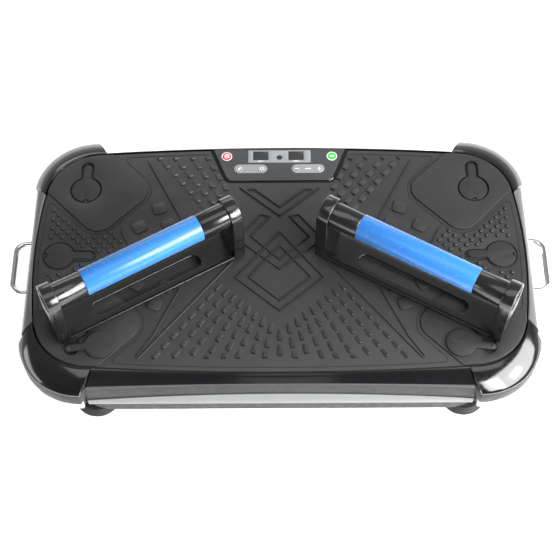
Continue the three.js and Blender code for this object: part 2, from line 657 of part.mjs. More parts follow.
/** Sloped strip between the mat's front edge and the fascia. */
function frontBezel() {
  const steps = 10;
  const sections = [];
  for (let i = -steps; i <= steps; i += 1) {
    const t = i / steps;
    const xi = BEZEL.innerHalf * t;
    const yi = -endY(xi, TRIM_CLEARANCE);
    const xo = BEZEL.outerHalf * t;
    const z = crowned(FASCIA_TOP, t) + GAP;
    sections.push(ring([
      [xi, yi, SEAM_Z], [mix(xi, xo, 0.6), mix(yi, -FASCIA_Y, 0.6), mix(SEAM_Z, z, 0.5)],
      [xo, -FASCIA_Y, z], [xo, -FASCIA_Y + BEZEL.rim, z], [xi, yi, BEZEL.bottom]]));
  }
  return loft(sections);
}

function fasciaShape(halfX, bottom, top) {
  const shape = new THREE.Shape();
  shape.moveTo(-halfX, bottom);
  shape.lineTo(halfX, bottom);
  shape.lineTo(halfX, top.end);
  shape.quadraticCurveTo(0, top.end + 2 * top.crown, -halfX, top.end);
  return shape;
}

function frontFascia() {
  return upright(fasciaShape(FASCIA_HALF_X, SKIRT_BOTTOM, FASCIA_TOP),
    -FASCIA_Y, -FASCIA_Y + FASCIA_THICKNESS, 10);
}

function frontTrim() {
  return upright(fasciaShape(FASCIA_HALF_X - 1, SKIRT_BOTTOM + 0.5, TRIM_TOP),
    -FASCIA_Y - GAP - TRIM_THICKNESS, -FASCIA_Y - GAP, 12);
}

function sideWall() {
  const { innerHalf, outerHalf, shoulder, brow, ledge, root } = SIDE_WALL;
  const inside = SIDE_X - WALL;
  const steps = 6;
  const sections = [];
  for (let i = -steps; i <= steps; i += 1) {
    const t = i / steps;
    const yi = innerHalf * t;
    const xi = sideX(yi, TRIM_CLEARANCE);
    const yo = outerHalf * t;
    sections.push(ring([
      [xi, yi, SEAM_Z], [mix(xi, SIDE_X, 0.65), mix(yi, yo, 0.65), shoulder], [SIDE_X, yo, brow],
      [SIDE_X, yo, SKIRT_BOTTOM], [inside, yo, SKIRT_BOTTOM], [inside, yo, ledge], [xi, yi, root]]));
  }
  const recess = across(stadium(RECESS_HALF, RECESS_R), SIDE_X - RECESS_DEPTH, SIDE_X + 1);
  return carve([loft(sections)], [recess.translate(0, 0, LOOP_Z)]);
}

/** Quarter ring round one corner of the mat, closed at both ends by an upright wall. */
function cornerBumper() {
  const { shoulder, root, skirtBottom, skirtThickness, ceiling } = BUMPER;
  const innerR = MAT_CORNER_R + TRIM_CLEARANCE;
  const steps = 10;
  const sections = [];
  for (let i = 0; i <= steps; i += 1) {
    const t = i / steps;
    const inner = mix(BUMPER.innerFrom, BUMPER.innerTo, t);
    const outer = mix(BUMPER.outerFrom, BUMPER.outerTo, t);
    const [ix, iy] = [CORNER.x + innerR * Math.cos(inner), CORNER.y + innerR * Math.sin(inner)];
    const out = (inset) => [BUMPER_CENTRE.x + (BUMPER_R - inset) * Math.cos(outer),
      BUMPER_CENTRE.y + (BUMPER_R - inset) * Math.sin(outer)];
    const [ox, oy] = out(0);
    const skirt = out(BUMPER_SKIRT_INSET);
    const toSide = (SIDE_X - WALL + GAP - ix) / (ox - ix);
    const toFascia = (FASCIA_Y - FASCIA_THICKNESS + GAP - iy) / (oy - iy);
    let inside = out(BUMPER_SKIRT_INSET + skirtThickness);
    if (i === 0) inside = [mix(ix, ox, toSide), mix(iy, oy, toSide)];
    if (i === steps) inside = [mix(ix, ox, toFascia), mix(iy, oy, toFascia)];
    sections.push(ring([
      [ix, iy, SEAM_Z], [mix(ix, ox, 0.55), mix(iy, oy, 0.55), shoulder], [ox, oy, LIP_Z],
      [ox, oy, BAND_BOTTOM], [...skirt, BAND_BOTTOM], [...skirt, skirtBottom], [...inside, skirtBottom],
      [...inside, ceiling], [ix, iy, root]]));
  }
  return loft(sections);
}

function sideLoop() {
  const [x0, x1, h, b] = [SIDE_X - RECESS_DEPTH + 1, LOOP_REACH, LOOP_HALF, LOOP_BEND_R];
  const at = (x, y) => new THREE.Vector3(x, y, 0);
  const path = new THREE.CurvePath();
  path.add(new THREE.LineCurve3(at(x0, h), at(x1 - b, h)));
  path.add(new THREE.QuadraticBezierCurve3(at(x1 - b, h), at(x1, h), at(x1, h - b)));
  path.add(new THREE.LineCurve3(at(x1, h - b), at(x1, -h + b)));
  path.add(new THREE.QuadraticBezierCurve3(at(x1, -h + b), at(x1, -h), at(x1 - b, -h)));
  path.add(new THREE.LineCurve3(at(x1 - b, -h), at(x0, -h)));
  const section = new THREE.Shape();
  section.absarc(0, 0, LOOP_ROD_R, 0, 2 * Math.PI, false);
  const options = { steps: 20, extrudePath: path, bevelEnabled: false, curveSegments: 4 };
  const rod = new THREE.ExtrudeGeometry(section, options);
  const { r, thickness } = LOOP_FLANGE;
  const face = SIDE_X - RECESS_DEPTH + GAP;
  const flanges = [-1, 1].map((side) => new THREE.CylinderGeometry(r, r, thickness, 18)
    .rotateZ(Math.PI / 2).translate(face + thickness / 2, side * h, 0));
  return carve([rod, ...flanges]).translate(0, 0, LOOP_Z);
}

// ---------------------------------------------------------------- socket covers
function closedCover(socket, sx) {
  const reach = socket.reach - COVER_TIP_CLEARANCE;
  const top = MAT_BOTTOM + COVER_THICKNESS;
  const cover = prism(keyhole(COVER_R, COVER_TONGUE_HALF, reach), MAT_BOTTOM, top, 5);
  const notch = disc(-COVER_R, 0, COVER_NOTCH.r, top - COVER_NOTCH.depth, top + 1, 12);
  return placed(carve([cover], [notch]), sx * socket.x, socket.y, socketTurn(socket, sx));
}

/** Cover pulled out of its socket and laid on the mat, still held by the peg on its tongue. */
function openCover(sx) {
  const { anchorX, anchorY, discX, discY } = OPEN_COVER;
  const reach = Math.hypot(anchorX - discX, anchorY - discY) + COVER_TONGUE_HALF;
  const z0 = DECK_TOP + GAP;
  const cover = prism(keyhole(COVER_R, COVER_TONGUE_HALF, reach), z0, z0 + COVER_THICKNESS - 0.2, 5);
  const turn = Math.atan2(anchorY - discY, sx * (anchorX - discX));
  const peg = disc(sx * anchorX, anchorY, COVER_PEG_R, MAT_BOTTOM, z0 + 1, 10);
  return carve([placed(cover, sx * discX, discY, turn), peg]);
}

// ---------------------------------------------------------------- push-up handles
/** Cylinder along the handle at grip height. */
function alongGrip(r, a0, a1, sides = 24) {
  return new THREE.CylinderGeometry(r, r, a1 - a0, sides).rotateZ(Math.PI / 2)
    .translate((a0 + a1) / 2, 0, GRIP_Z);
}

function handleFrame() {
  const plate = box(HANDLE_OUTER + 1, HANDLE_INNER - 1, -HANDLE_HALF_WIDTH, HANDLE_HALF_WIDTH,
    HANDLE_FLOOR, HANDLE_PLATE_TOP);
  const post = new THREE.Shape();
  post.moveTo(-POST_FOOT_HALF, HANDLE_FLOOR);
  post.lineTo(POST_FOOT_HALF, HANDLE_FLOOR);
  post.absarc(0, GRIP_Z, POST_TOP_R, 0, Math.PI, false);
  const outerPost = across(post, HANDLE_OUTER, HANDLE_OUTER + POST_THICKNESS, 7);
  const innerPost = across(post, HANDLE_INNER - POST_THICKNESS, HANDLE_INNER, 7);
  const slot = prism(stadium(SLOT_LENGTH / 2, SLOT_HALF_WIDTH), HANDLE_FLOOR - 1, HANDLE_PLATE_TOP + 1, 5)
    .translate(HANDLE_MIDDLE, 0, 0);
  const outerBore = alongGrip(GRIP_R + GAP, HANDLE_OUTER - 1, HANDLE_OUTER + POST_THICKNESS + 1);
  const innerBore = alongGrip(GRIP_R + GAP, HANDLE_INNER - POST_THICKNESS - 1, HANDLE_INNER - INNER_WALL);
  return carve([plate, outerPost, innerPost], [slot, outerBore, innerBore]);
}

/** Turns [along, radius] pairs about the grip's axis. */
function turnedGrip(profile) {
  const points = profile.map(([a, r]) => new THREE.Vector2(r, a));
  return outward(new THREE.LatheGeometry(points, 24).rotateZ(-Math.PI / 2).translate(0, 0, GRIP_Z));
}

function gripTube() {
  const outer = HANDLE_OUTER + 1.5;
  const inner = HANDLE_INNER - INNER_WALL - GAP;
  const [neck0, neck1] = [HANDLE_MIDDLE - SLEEVE_HALF - GAP, HANDLE_MIDDLE + SLEEVE_HALF + GAP];
  return turnedGrip([[outer + GRIP_BORE_DEPTH, 0], [outer + GRIP_BORE_DEPTH, GRIP_BORE_R],
    [outer, GRIP_BORE_R], [outer, GRIP_R], [neck0, GRIP_R], [neck0, GRIP_CORE_R], [neck1, GRIP_CORE_R],
    [neck1, GRIP_R], [inner, GRIP_R], [inner, 0]]);
}

function gripSleeve() {
  const [a0, a1] = [HANDLE_MIDDLE - SLEEVE_HALF, HANDLE_MIDDLE + SLEEVE_HALF];
  const [inner, outer] = [GRIP_CORE_R + GAP, GRIP_R + 0.4];
  return turnedGrip([[a0, inner], [a1, inner], [a1, outer], [a0, outer], [a0, inner]]);
}

function lockingFoot() {
  const { pinR, pinBottom, plugR, plugBottom, flangeR } = LOCK;
  const shoulder = MAT_BOTTOM + GAP;
  const top = HANDLE_FLOOR - GAP;
  return turned([[0, pinBottom], [pinR, pinBottom], [plugR, plugBottom], [plugR, shoulder],
    [flangeR, shoulder], [flangeR, top], [0, top]], 0, 0);
}

function restPad() {
  const { r, inset } = REST_PAD;
  const [bottom, top] = [DECK_TOP + GAP, HANDLE_FLOOR - GAP];
  const profile = [[0, bottom], [r - 1, bottom], [r, bottom + 0.7], [r, top], [0, top]];
  return turned(profile, HANDLE_INNER - inset, 0, 16);
}

function addHandle(suffix, sx) {
  const stand = new THREE.Group();
  stand.position.set(sx * SOCKETS.front.x, SOCKETS.front.y, 0);
  stand.rotation.z = sx > 0 ? Math.PI - HANDLE_TURN : HANDLE_TURN;
  stand.add(add(`handle_frame_${suffix}`, handleFrame(), GLOSS_BLACK));
  stand.add(add(`grip_tube_${suffix}`, gripTube(), GLOSS_BLACK));
  stand.add(add(`grip_sleeve_${suffix}`, gripSleeve(), BLUE));
  stand.add(add(`locking_foot_${suffix}`, lockingFoot(), DARK_RUBBER));
  stand.add(add(`rest_pad_${suffix}`, restPad(), DARK_RUBBER));
  group.add(stand);
}

// ---------------------------------------------------------------- assembly
const CORNERS = [
  ['front_left', -1, -1], ['front_right', 1, -1], ['rear_left', -1, 1], ['rear_right', 1, 1],
];
add('base_tub', baseTub(), GREY);
for (const [corner, sx, sy] of CORNERS) {
  add(`foot_${corner}`, foot(sx * FOOT_X, sy * FOOT_Y), DARK_RUBBER);
}
add('pivot_block_front', pivotBlock(-1), STEEL);
add('pivot_block_rear', pivotBlock(1), STEEL);
add('pivot_shaft', axle(0, PIVOT_Z, PIVOT_R, -PIVOT_HALF, PIVOT_HALF), STEEL);
add('buffer_left', buffer(-1), DARK_RUBBER);
add('buffer_right', buffer(1), DARK_RUBBER);
add('motor', motor(), MOTOR_BLACK);
add('drive_pulley', smallPulley(), STEEL);
add('driven_pulley', largePulley(), STEEL);
add('crankshaft', crankshaft(), STEEL);
add('crank_bracket', crankBracket(), STEEL);
add('connecting_rod', connectingRod(), STEEL);
add('drive_belt', belt(), DARK_RUBBER);
add('controller_board', controllerBoard(), BOARD_GREEN);
add('power_inlet', powerInlet(), GLOSS_BLACK);
add('power_switch', powerSwitch(), GLOSS_BLACK);

add('deck_plate', deckPlate(), DARK);
add('mat', mat(), RUBBER);
const bezel = frontBezel();
add('front_bezel', bezel, GLOSS_BLACK);
add('rear_bezel', mirrored(bezel, 1, -1), GLOSS_BLACK);
const fascia = frontFascia();
add('front_fascia', fascia, GREY);
add('rear_fascia', fascia.clone().rotateZ(Math.PI), GREY);
add('front_trim', frontTrim(), SILVER);
const bumper = cornerBumper();
for (const [corner, sx, sy] of CORNERS) add(`bumper_${corner}`, mirrored(bumper, sx, sy), GLOSS_BLACK);
const wall = sideWall();
add('side_wall_left', mirrored(wall, -1, 1), SILVER);
add('side_wall_right', wall, SILVER);
const loop = sideLoop();
add('side_loop_left', mirrored(loop, -1, 1), CHROME);
add('side_loop_right', loop, CHROME);
add('control_panel', controlPanel(), PANEL_GREY);
add('display_window', displayWindow(), SILVER);
for (const spec of BUTTONS) add(spec.name, button(spec), finish(spec.colour, 0.4));
for (const [side, sx] of [['left', -1], ['right', 1]]) {
  add(`socket_cover_rear_${side}`, closedCover(SOCKETS.rear, sx), RUBBER);
  add(`socket_cover_middle_${side}`, closedCover(SOCKETS.middle, sx), RUBBER);
  add(`socket_cover_front_${side}`, openCover(sx), RUBBER);
  addHandle(side, sx);
}

export default group;
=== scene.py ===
"""Looks of the vibration plate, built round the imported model.

Shapes are drawn in millimetres and turned into metres when their mesh is made.
Left is -X and right is +X, as in the node names; the fascia with the trim faces -Y.
"""
import json
import math

import bmesh
import bpy
from mathutils import Matrix, Vector
from mathutils.geometry import delaunay_2d_cdt


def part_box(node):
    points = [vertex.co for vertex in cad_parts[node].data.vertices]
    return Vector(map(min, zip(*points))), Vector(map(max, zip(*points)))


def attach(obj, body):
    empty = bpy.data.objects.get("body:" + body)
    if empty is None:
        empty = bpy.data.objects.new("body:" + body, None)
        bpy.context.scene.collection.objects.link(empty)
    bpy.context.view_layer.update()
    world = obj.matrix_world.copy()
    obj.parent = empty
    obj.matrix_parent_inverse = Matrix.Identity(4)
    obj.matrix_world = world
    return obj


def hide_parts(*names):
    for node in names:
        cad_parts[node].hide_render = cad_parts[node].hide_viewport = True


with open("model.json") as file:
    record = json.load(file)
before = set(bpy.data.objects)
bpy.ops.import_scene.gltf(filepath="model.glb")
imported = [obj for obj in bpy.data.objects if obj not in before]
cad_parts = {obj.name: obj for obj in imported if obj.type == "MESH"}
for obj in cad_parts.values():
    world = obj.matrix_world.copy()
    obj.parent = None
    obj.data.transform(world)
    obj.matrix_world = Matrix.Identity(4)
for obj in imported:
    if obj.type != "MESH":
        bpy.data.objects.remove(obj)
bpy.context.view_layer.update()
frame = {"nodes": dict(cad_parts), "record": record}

MM = 0.001
SIDES = (("left", -1), ("right", 1))
CORNERS = (("front_left", -1, -1), ("front_right", 1, -1), ("rear_left", -1, 1), ("rear_right", 1, 1))


def span(node):
    """Lowest corner, highest corner and centre of a node, in millimetres."""
    low, high = (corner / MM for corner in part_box(node))
    return low, high, (low + high) / 2


# ---------------------------------------------------------------- camera
def make_camera():
    data = bpy.data.cameras.new("camera")
    data.sensor_width = 36
    data.lens = 80.9
    camera = bpy.data.objects.new("camera", data)
    camera.location = (0.0, -0.905, 1.620)
    camera.rotation_euler = (math.radians(29.93), 0, 0)
    roll = Matrix.Rotation(math.radians(-0.28), 4, "Z")
    camera.matrix_world = camera.matrix_basis @ roll
    bpy.context.scene.collection.objects.link(camera)
    bpy.context.scene.camera = camera


make_camera()


# ---------------------------------------------------------------- meshes
def shrink(loop, inset):
    """The outline moved towards its left side, which is inward when it runs anticlockwise."""
    if inset == 0:
        return list(loop)
    moved = []
    count = len(loop)
    for i, (x, y) in enumerate(loop):
        before, after = loop[i - 1], loop[(i + 1) % count]
        a = Vector((x - before[0], y - before[1])).normalized()
        b = Vector((after[0] - x, after[1] - y)).normalized()
        scale = inset / max(0.3, 1 + a.dot(b))
        moved.append((x - (a.y + b.y) * scale, y + (a.x + b.x) * scale))
    return moved


def at_inset(loop, inset):
    """An outline moved inward; one given as a function of the inset draws itself."""
    return loop(inset) if callable(loop) else shrink(loop, inset)


def arc(cx, cy, r, start, end, step=2.0):
    """Points on an arc, ends included, about `step` apart."""
    count = max(3, math.ceil(abs(end - start) * r / step))
    angles = [start + (end - start) * i / count for i in range(count + 1)]
    return [(cx + r * math.cos(a), cy + r * math.sin(a)) for a in angles]


def turn_and_move(points, x, y, angle):
    c, s = math.cos(angle), math.sin(angle)
    return [(x + c * u - s * v, y + s * u + c * v) for u, v in points]


def rounded_rectangle(half_x, half_y, r, step=0.5):
    quarter = math.pi / 2
    points = []
    for i, (sx, sy) in enumerate(((1, 1), (-1, 1), (-1, -1), (1, -1))):
        points += arc(sx * (half_x - r), sy * (half_y - r), r, i * quarter, (i + 1) * quarter, step)
    return points


def fillet(before, corner, after, r, step=1.5):
    """Arc that rounds one corner of a path."""
    p = Vector(corner)
    a = (Vector(before) - p).normalized()
    b = (Vector(after) - p).normalized()
    half = a.angle(b) / 2
    centre = p + (a + b).normalized() * (r / math.sin(half))
    first = p + a * (r / math.tan(half)) - centre
    last = p + b * (r / math.tan(half)) - centre
    start = math.atan2(first.y, first.x)
    return arc(centre.x, centre.y, r, start, start - first.angle_signed(last), step)


def rounded_polygon(corners, r, step=1.0):
    """Polygon with every corner rounded; it runs the way its corners run."""
    count = len(corners)
    points = []
    for i in range(count):
        points += fillet(corners[i - 1], corners[i], corners[(i + 1) % count], r, step)
    return points


def densify(loop, step):
    """The outline with its long straight runs divided."""
    points = []
    for i, (x, y) in enumerate(loop):
        after = loop[(i + 1) % len(loop)]
        parts = max(1, round(math.dist((x, y), after) / step))
        points += [(x + (after[0] - x) * k / parts, y + (after[1] - y) * k / parts) for k in range(parts)]
    return points


def stadium(half, r, step=0.8):
    quarter = math.pi / 2
    return arc(half - r, 0, r, -quarter, quarter, step) + arc(-half + r, 0, r, quarter, 3 * quarter, step)


def circle(x, y, r, step=0.8):
    return arc(x, y, r, 0, 2 * math.pi, step)[:-1]


def rounded_top(bottom, top, r, steps=3):
    """Levels of an upright wall with a round upper edge."""
    curve = [(i / steps) * math.pi / 2 for i in range(steps + 1)]
    return [(0, bottom)] + [(r * (1 - math.cos(a)), top - r * (1 - math.sin(a))) for a in curve]


def rounded_both(bottom, top, r, steps=3):
    """Levels of an upright wall with round lower and upper edges."""
    curve = [(i / steps) * math.pi / 2 for i in range(steps + 1)]
    lower = [(r * (1 - math.sin(a)), bottom + r * (1 - math.cos(a))) for a in curve]
    return lower + [(r * (1 - math.cos(a)), top - r * (1 - math.sin(a))) for a in curve]


def inside(x, y, loops):
    """Whether a point lies in the area that the loops enclose, holes left out."""
    found = False
    for loop in loops:
        for i, (bx, by) in enumerate(loop):
            ax, ay = loop[i - 1]
            if (ay > y) != (by > y) and x < ax + (y - ay) * (bx - ax) / (by - ay):
                found = not found
    return found


def fill(loops):
    """Anticlockwise triangles, as point numbers, between an outline and its holes."""
    points = [Vector(p) for loop in loops for p in loop]
    edges, start = [], 0
    for loop in loops:
        count = len(loop)
        edges += [(start + i, start + (i + 1) % count) for i in range(count)]
        start += count
    _, _, triangles, sources, _, _ = delaunay_2d_cdt(points, edges, [], 0, 1e-6)
    kept = []
    for triangle in triangles:
        a, b, c = (sources[i][0] for i in triangle)
        middle = (points[a] + points[b] + points[c]) / 3
        if inside(middle.x, middle.y, loops):
            kept.append((a, b, c))
    return kept


class Shell:
    """Points in millimetres and faces, gathered until they become one mesh."""

    def __init__(self):
        self.points, self.faces, self.flat, self.tint = [], [], [], []
        self.colour = 0

    def add(self, points, faces, flat=False, place=None):
        start = len(self.points)
        self.points += [place @ Vector(p) if place else Vector(p) for p in points]
        self.faces += [[start + i for i in face] for face in faces]
        self.flat += [flat] * len(faces)
        self.tint += [self.colour] * len(faces)
        return start

    def loft(self, rings, place=None, looped=False):
        """Skin through rings with equal numbers of points, closed at its ends unless it is looped."""
        size, rows = len(rings[0]), len(rings)
        faces = []
        for row in range(rows if looped else rows - 1):
            low, high = row * size, ((row + 1) % rows) * size
            for i in range(size):
                j = (i + 1) % size
                faces.append([low + i, low + j, high + j, high + i])
        start = self.add([p for ring in rings for p in ring], faces, place=place)
        if not looped:
            last = start + (rows - 1) * size
            self.faces += [list(range(start, start + size))[::-1], list(range(last, last + size))]
            self.flat += [True, True]
            self.tint += [self.colour] * 2

    def slab(self, loops, levels, place=None, hole_share=1.0):
        """Solid between flat outlines; holes run clockwise and take a share of each level's inset.

        Each level is (inset, height).
        """
        shares = [1.0] + [hole_share] * (len(loops) - 1)
        counts = [len(at_inset(loop, 0)) for loop in loops]
        size = sum(counts)
        points, faces = [], []
        for inset, z in levels:
            for loop, share in zip(loops, shares):
                points += [(x, y, z) for x, y in at_inset(loop, inset * share)]
        for level in range(len(levels) - 1):
            start = level * size
            for count in counts:
                for i in range(count):
                    j = (i + 1) % count
                    faces.append([start + i, start + j, start + size + j, start + size + i])
                start += count
        start = self.add(points, faces, place=place)
        for level, rising in ((0, False), (len(levels) - 1, True)):
            first = start + level * size
            inset = levels[level][0]
            caps = [range(size)]
            if len(loops) > 1:
                caps = fill([at_inset(loop, inset * share) for loop, share in zip(loops, shares)])
            for cap in caps:
                face = [first + i for i in cap]
                self.faces.append(face if rising else face[::-1])
                self.flat.append(True)
                self.tint.append(self.colour)

    def turned(self, profile, sides=48, place=None, looped=False):
        """Turns (radius, height) pairs about the local Z axis."""
        points, rows = [], []
        for r, z in profile:
            if r == 0:
                rows.append([len(points)] * sides)
                points.append((0, 0, z))
            else:
                rows.append(list(range(len(points), len(points) + sides)))
                angles = [2 * math.pi * i / sides for i in range(sides)]
                points += [(r * math.cos(a), r * math.sin(a), z) for a in angles]
        if looped:
            rows.append(rows[0])
        faces = []
        for low, high in zip(rows, rows[1:]):
            for i in range(sides):
                j = (i + 1) % sides
                faces.append(list(dict.fromkeys([low[i], low[j], high[j], high[i]])))
        self.add(points, faces, place=place)

    def ridge(self, path, width, base, top, looped=False):
        """Low moulded line along a path in plan, with sloping sides."""
        section = [(-0.5, 0), (-0.40, 0.75), (-0.18, 1), (0.18, 1), (0.40, 0.75), (0.5, 0)]
        lines = [shift_path(path, width * side, looped) for side, _ in section]
        heights = [base + (top - base) * rise for _, rise in section]
        rings = []
        for i in range(len(path)):
            rings.append([(line[i][0], line[i][1], z) for line, z in zip(lines, heights)])
        self.loft(rings, looped=looped)

    def sweep(self, path, r, sides=16, looped=False, place=None):
        """Round rod along a path in space."""
        rings = []
        count = len(path)
        path = [Vector(p) for p in path]
        for i, p in enumerate(path):
            before = path[i - 1] if looped or i else p
            after = path[(i + 1) % count] if looped or i + 1 < count else p
            along = (after - before).normalized()
            side = along.cross(Vector((0, 0, 1))).normalized()
            rise = side.cross(along)
            angles = [2 * math.pi * k / sides for k in range(sides)]
            rings.append([p + side * r * math.cos(a) + rise * r * math.sin(a) for a in angles])
        self.loft(rings, looped=looped, place=place)

    def piece(self, name, materials, body, replaced=()):
        """Makes the object, in metres, parents it to its body's empty and hides the CAD nodes that it replaces."""
        mesh = bpy.data.meshes.new(name)
        mesh.from_pydata([p * MM for p in self.points], [], self.faces)
        for material in materials if isinstance(materials, (list, tuple)) else [materials]:
            mesh.materials.append(material)
        mesh.polygons.foreach_set("use_smooth", [not flat for flat in self.flat])
        mesh.polygons.foreach_set("material_index", self.tint)
        work = bmesh.new()
        work.from_mesh(mesh)
        bmesh.ops.remove_doubles(work, verts=work.verts, dist=1e-7)
        bmesh.ops.recalc_face_normals(work, faces=work.faces)
        work.to_mesh(mesh)
        work.free()
        mesh.set_sharp_from_angle(angle=math.radians(42))
        obj = bpy.data.objects.new(name, mesh)
        bpy.context.scene.collection.objects.link(obj)
        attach(obj, body)
        if replaced:
            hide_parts(*replaced)
        return obj


def shift_path(path, offset, looped):
    """An open or looped path moved to its left by `offset`."""
    moved = []
    count = len(path)
    for i, (x, y) in enumerate(path):
        before = path[i - 1] if looped or i else None
        after = path[(i + 1) % count] if looped or i + 1 < count else None
        a = Vector((x - before[0], y - before[1])).normalized() if before else None
        b = Vector((after[0] - x, after[1] - y)).normalized() if after else a
        a = a or b
        scale = offset / max(0.3, 1 + a.dot(b))
        moved.append((x - (a.y + b.y) * scale, y + (a.x + b.x) * scale))
    return moved


def drill(obj, cutters):
    """Cuts closed shells out of a piece, and removes nothing else."""
    for shell in cutters:
        mesh = bpy.data.meshes.new("cutter")
        mesh.from_pydata([p * MM for p in shell.points], [], shell.faces)
        work = bmesh.new()
        work.from_mesh(mesh)
        bmesh.ops.recalc_face_normals(work, faces=work.faces)
        work.to_mesh(mesh)
        work.free()
        cutter = bpy.data.objects.new("cutter", mesh)
        bpy.context.scene.collection.objects.link(cutter)
        modifier = obj.modifiers.new("cut", "BOOLEAN")
        modifier.operation = "DIFFERENCE"
        modifier.solver = "EXACT"
        modifier.object = cutter
        graph = bpy.context.evaluated_depsgraph_get()
        result = bpy.data.meshes.new_from_object(obj.evaluated_get(graph))
        obj.modifiers.clear()
        old, obj.data = obj.data, result
        result.name = obj.name
        bpy.data.meshes.remove(old)
        bpy.data.objects.remove(cutter)
        bpy.data.meshes.remove(mesh)
    obj.data.set_sharp_from_angle(angle=math.radians(42))
    return obj


# ---------------------------------------------------------------- materials
def linear(hex_colour):
    """A six-figure sRGB colour as linear values."""
    values = [int(hex_colour[i:i + 2], 16) / 255 for i in (0, 2, 4)]
    return [v / 12.92 if v <= 0.04045 else ((v + 0.055) / 1.055) ** 2.4 for v in values] + [1.0]


class Finish:
    """A material under construction: its nodes, and the Principled shader that they feed."""

    def __init__(self, name):
        self.material = bpy.data.materials.new(name)
        self.material.use_nodes = True
        self.nodes = self.material.node_tree.nodes
        self.links = self.material.node_tree.links
        self.shader = self.nodes["Principled BSDF"]
        self.coordinates = self.nodes.new("ShaderNodeTexCoord")

    def set(self, **values):
        for name, value in values.items():
            self.shader.inputs[name.replace("_", " ")].default_value = value
        return self

    def noise(self, scale, detail=3.0, stretch=(1, 1, 1), roughness=0.5):
        mapping = self.nodes.new("ShaderNodeMapping")
        mapping.inputs["Scale"].default_value = stretch
        texture = self.nodes.new("ShaderNodeTexNoise")
        texture.inputs["Scale"].default_value = scale
        texture.inputs["Detail"].default_value = detail
        texture.inputs["Roughness"].default_value = roughness
        self.links.new(self.coordinates.outputs["Object"], mapping.inputs["Vector"])
        self.links.new(mapping.outputs["Vector"], texture.inputs["Vector"])
        return texture.outputs["Fac"]

    def cells(self, scale):
        texture = self.nodes.new("ShaderNodeTexVoronoi")
        texture.inputs["Scale"].default_value = scale
        self.links.new(self.coordinates.outputs["Object"], texture.inputs["Vector"])
        return texture.outputs["Distance"]

    def ramp(self, source, low, high, dark, light):
        """Colours from dark to light while the source goes from low to high."""
        node = self.nodes.new("ShaderNodeValToRGB")
        node.color_ramp.elements[0].position = low
        node.color_ramp.elements[1].position = high
        node.color_ramp.elements[0].color = dark
        node.color_ramp.elements[1].color = light
        self.links.new(source, node.inputs["Fac"])
        return node.outputs["Color"]

    def spread(self, source, low, high):
        """The source's middle range, from 0.3 to 0.7, turned into values from low to high."""
        node = self.nodes.new("ShaderNodeMapRange")
        node.inputs["From Min"].default_value = 0.3
        node.inputs["From Max"].default_value = 0.7
        node.inputs["To Min"].default_value = low
        node.inputs["To Max"].default_value = high
        self.links.new(source, node.inputs["Value"])
        return node.outputs["Result"]

    def blend(self, factor, first, second):
        node = self.nodes.new("ShaderNodeMix")
        node.data_type = "RGBA"
        self.links.new(factor, node.inputs["Factor"])
        self.links.new(first, node.inputs[6])
        if isinstance(second, bpy.types.NodeSocket):
            self.links.new(second, node.inputs[7])
        else:
            node.inputs[7].default_value = second
        return node.outputs[2]

    def own_normal(self, axis, low, high):
        """Rises from 0 to 1 while one share of the object's own normal goes from low to high."""
        split = self.nodes.new("ShaderNodeSeparateXYZ")
        node = self.nodes.new("ShaderNodeMapRange")
        node.inputs["From Min"].default_value = low
        node.inputs["From Max"].default_value = high
        self.links.new(self.coordinates.outputs["Normal"], split.inputs["Vector"])
        self.links.new(split.outputs[axis], node.inputs["Value"])
        return node.outputs["Result"]

    def bump(self, source, depth, below=None):
        """Relief of `depth` metres, on top of an earlier bump if one is given."""
        node = self.nodes.new("ShaderNodeBump")
        node.inputs["Distance"].default_value = depth
        self.links.new(source, node.inputs["Height"])
        if below is not None:
            self.links.new(below, node.inputs["Normal"])
        return node.outputs["Normal"]

    def feed(self, **sources):
        for name, source in sources.items():
            self.links.new(source, self.shader.inputs[name.replace("_", " ")])
        return self


def shade(colour, factor):
    return [min(1.0, c * factor) for c in colour[:3]] + [1.0]


def moulded(name, colour, roughness, variation=0.06, grain=2600, depth=0.000012, reflection=0.5):
    """Moulded plastic: slight colour drift, uneven gloss and a fine skin texture."""
    finish = Finish(name)
    base = linear(colour)
    drift = finish.noise(28, 4)
    tone = finish.ramp(drift, 0.3, 0.7, shade(base, 1 - variation), shade(base, 1 + variation))
    gloss = finish.spread(finish.noise(90, 5), roughness * 0.85, roughness * 1.18)
    skin = finish.bump(finish.noise(grain, 2), depth)
    finish.set(Specular_IOR_Level=reflection)
    return finish.feed(Base_Color=tone, Roughness=gloss, Normal=skin).material


def polished(name, colour, roughness=0.10):
    """Polished black plastic: faint waves from moulding and fine rub marks."""
    finish = Finish(name)
    base = linear(colour)
    tone = finish.ramp(finish.noise(35, 3), 0.3, 0.7, shade(base, 0.85), shade(base, 1.2))
    marks = finish.noise(700, 3, stretch=(1, 0.12, 1))
    gloss = finish.spread(marks, roughness * 0.8, roughness * 1.5)
    waves = finish.bump(finish.noise(22, 1), 0.00003)
    finish.set(Specular_IOR_Level=0.85)
    skin = finish.bump(finish.noise(1800, 2), 0.000004, waves)
    return finish.feed(Base_Color=tone, Roughness=gloss, Normal=skin).material


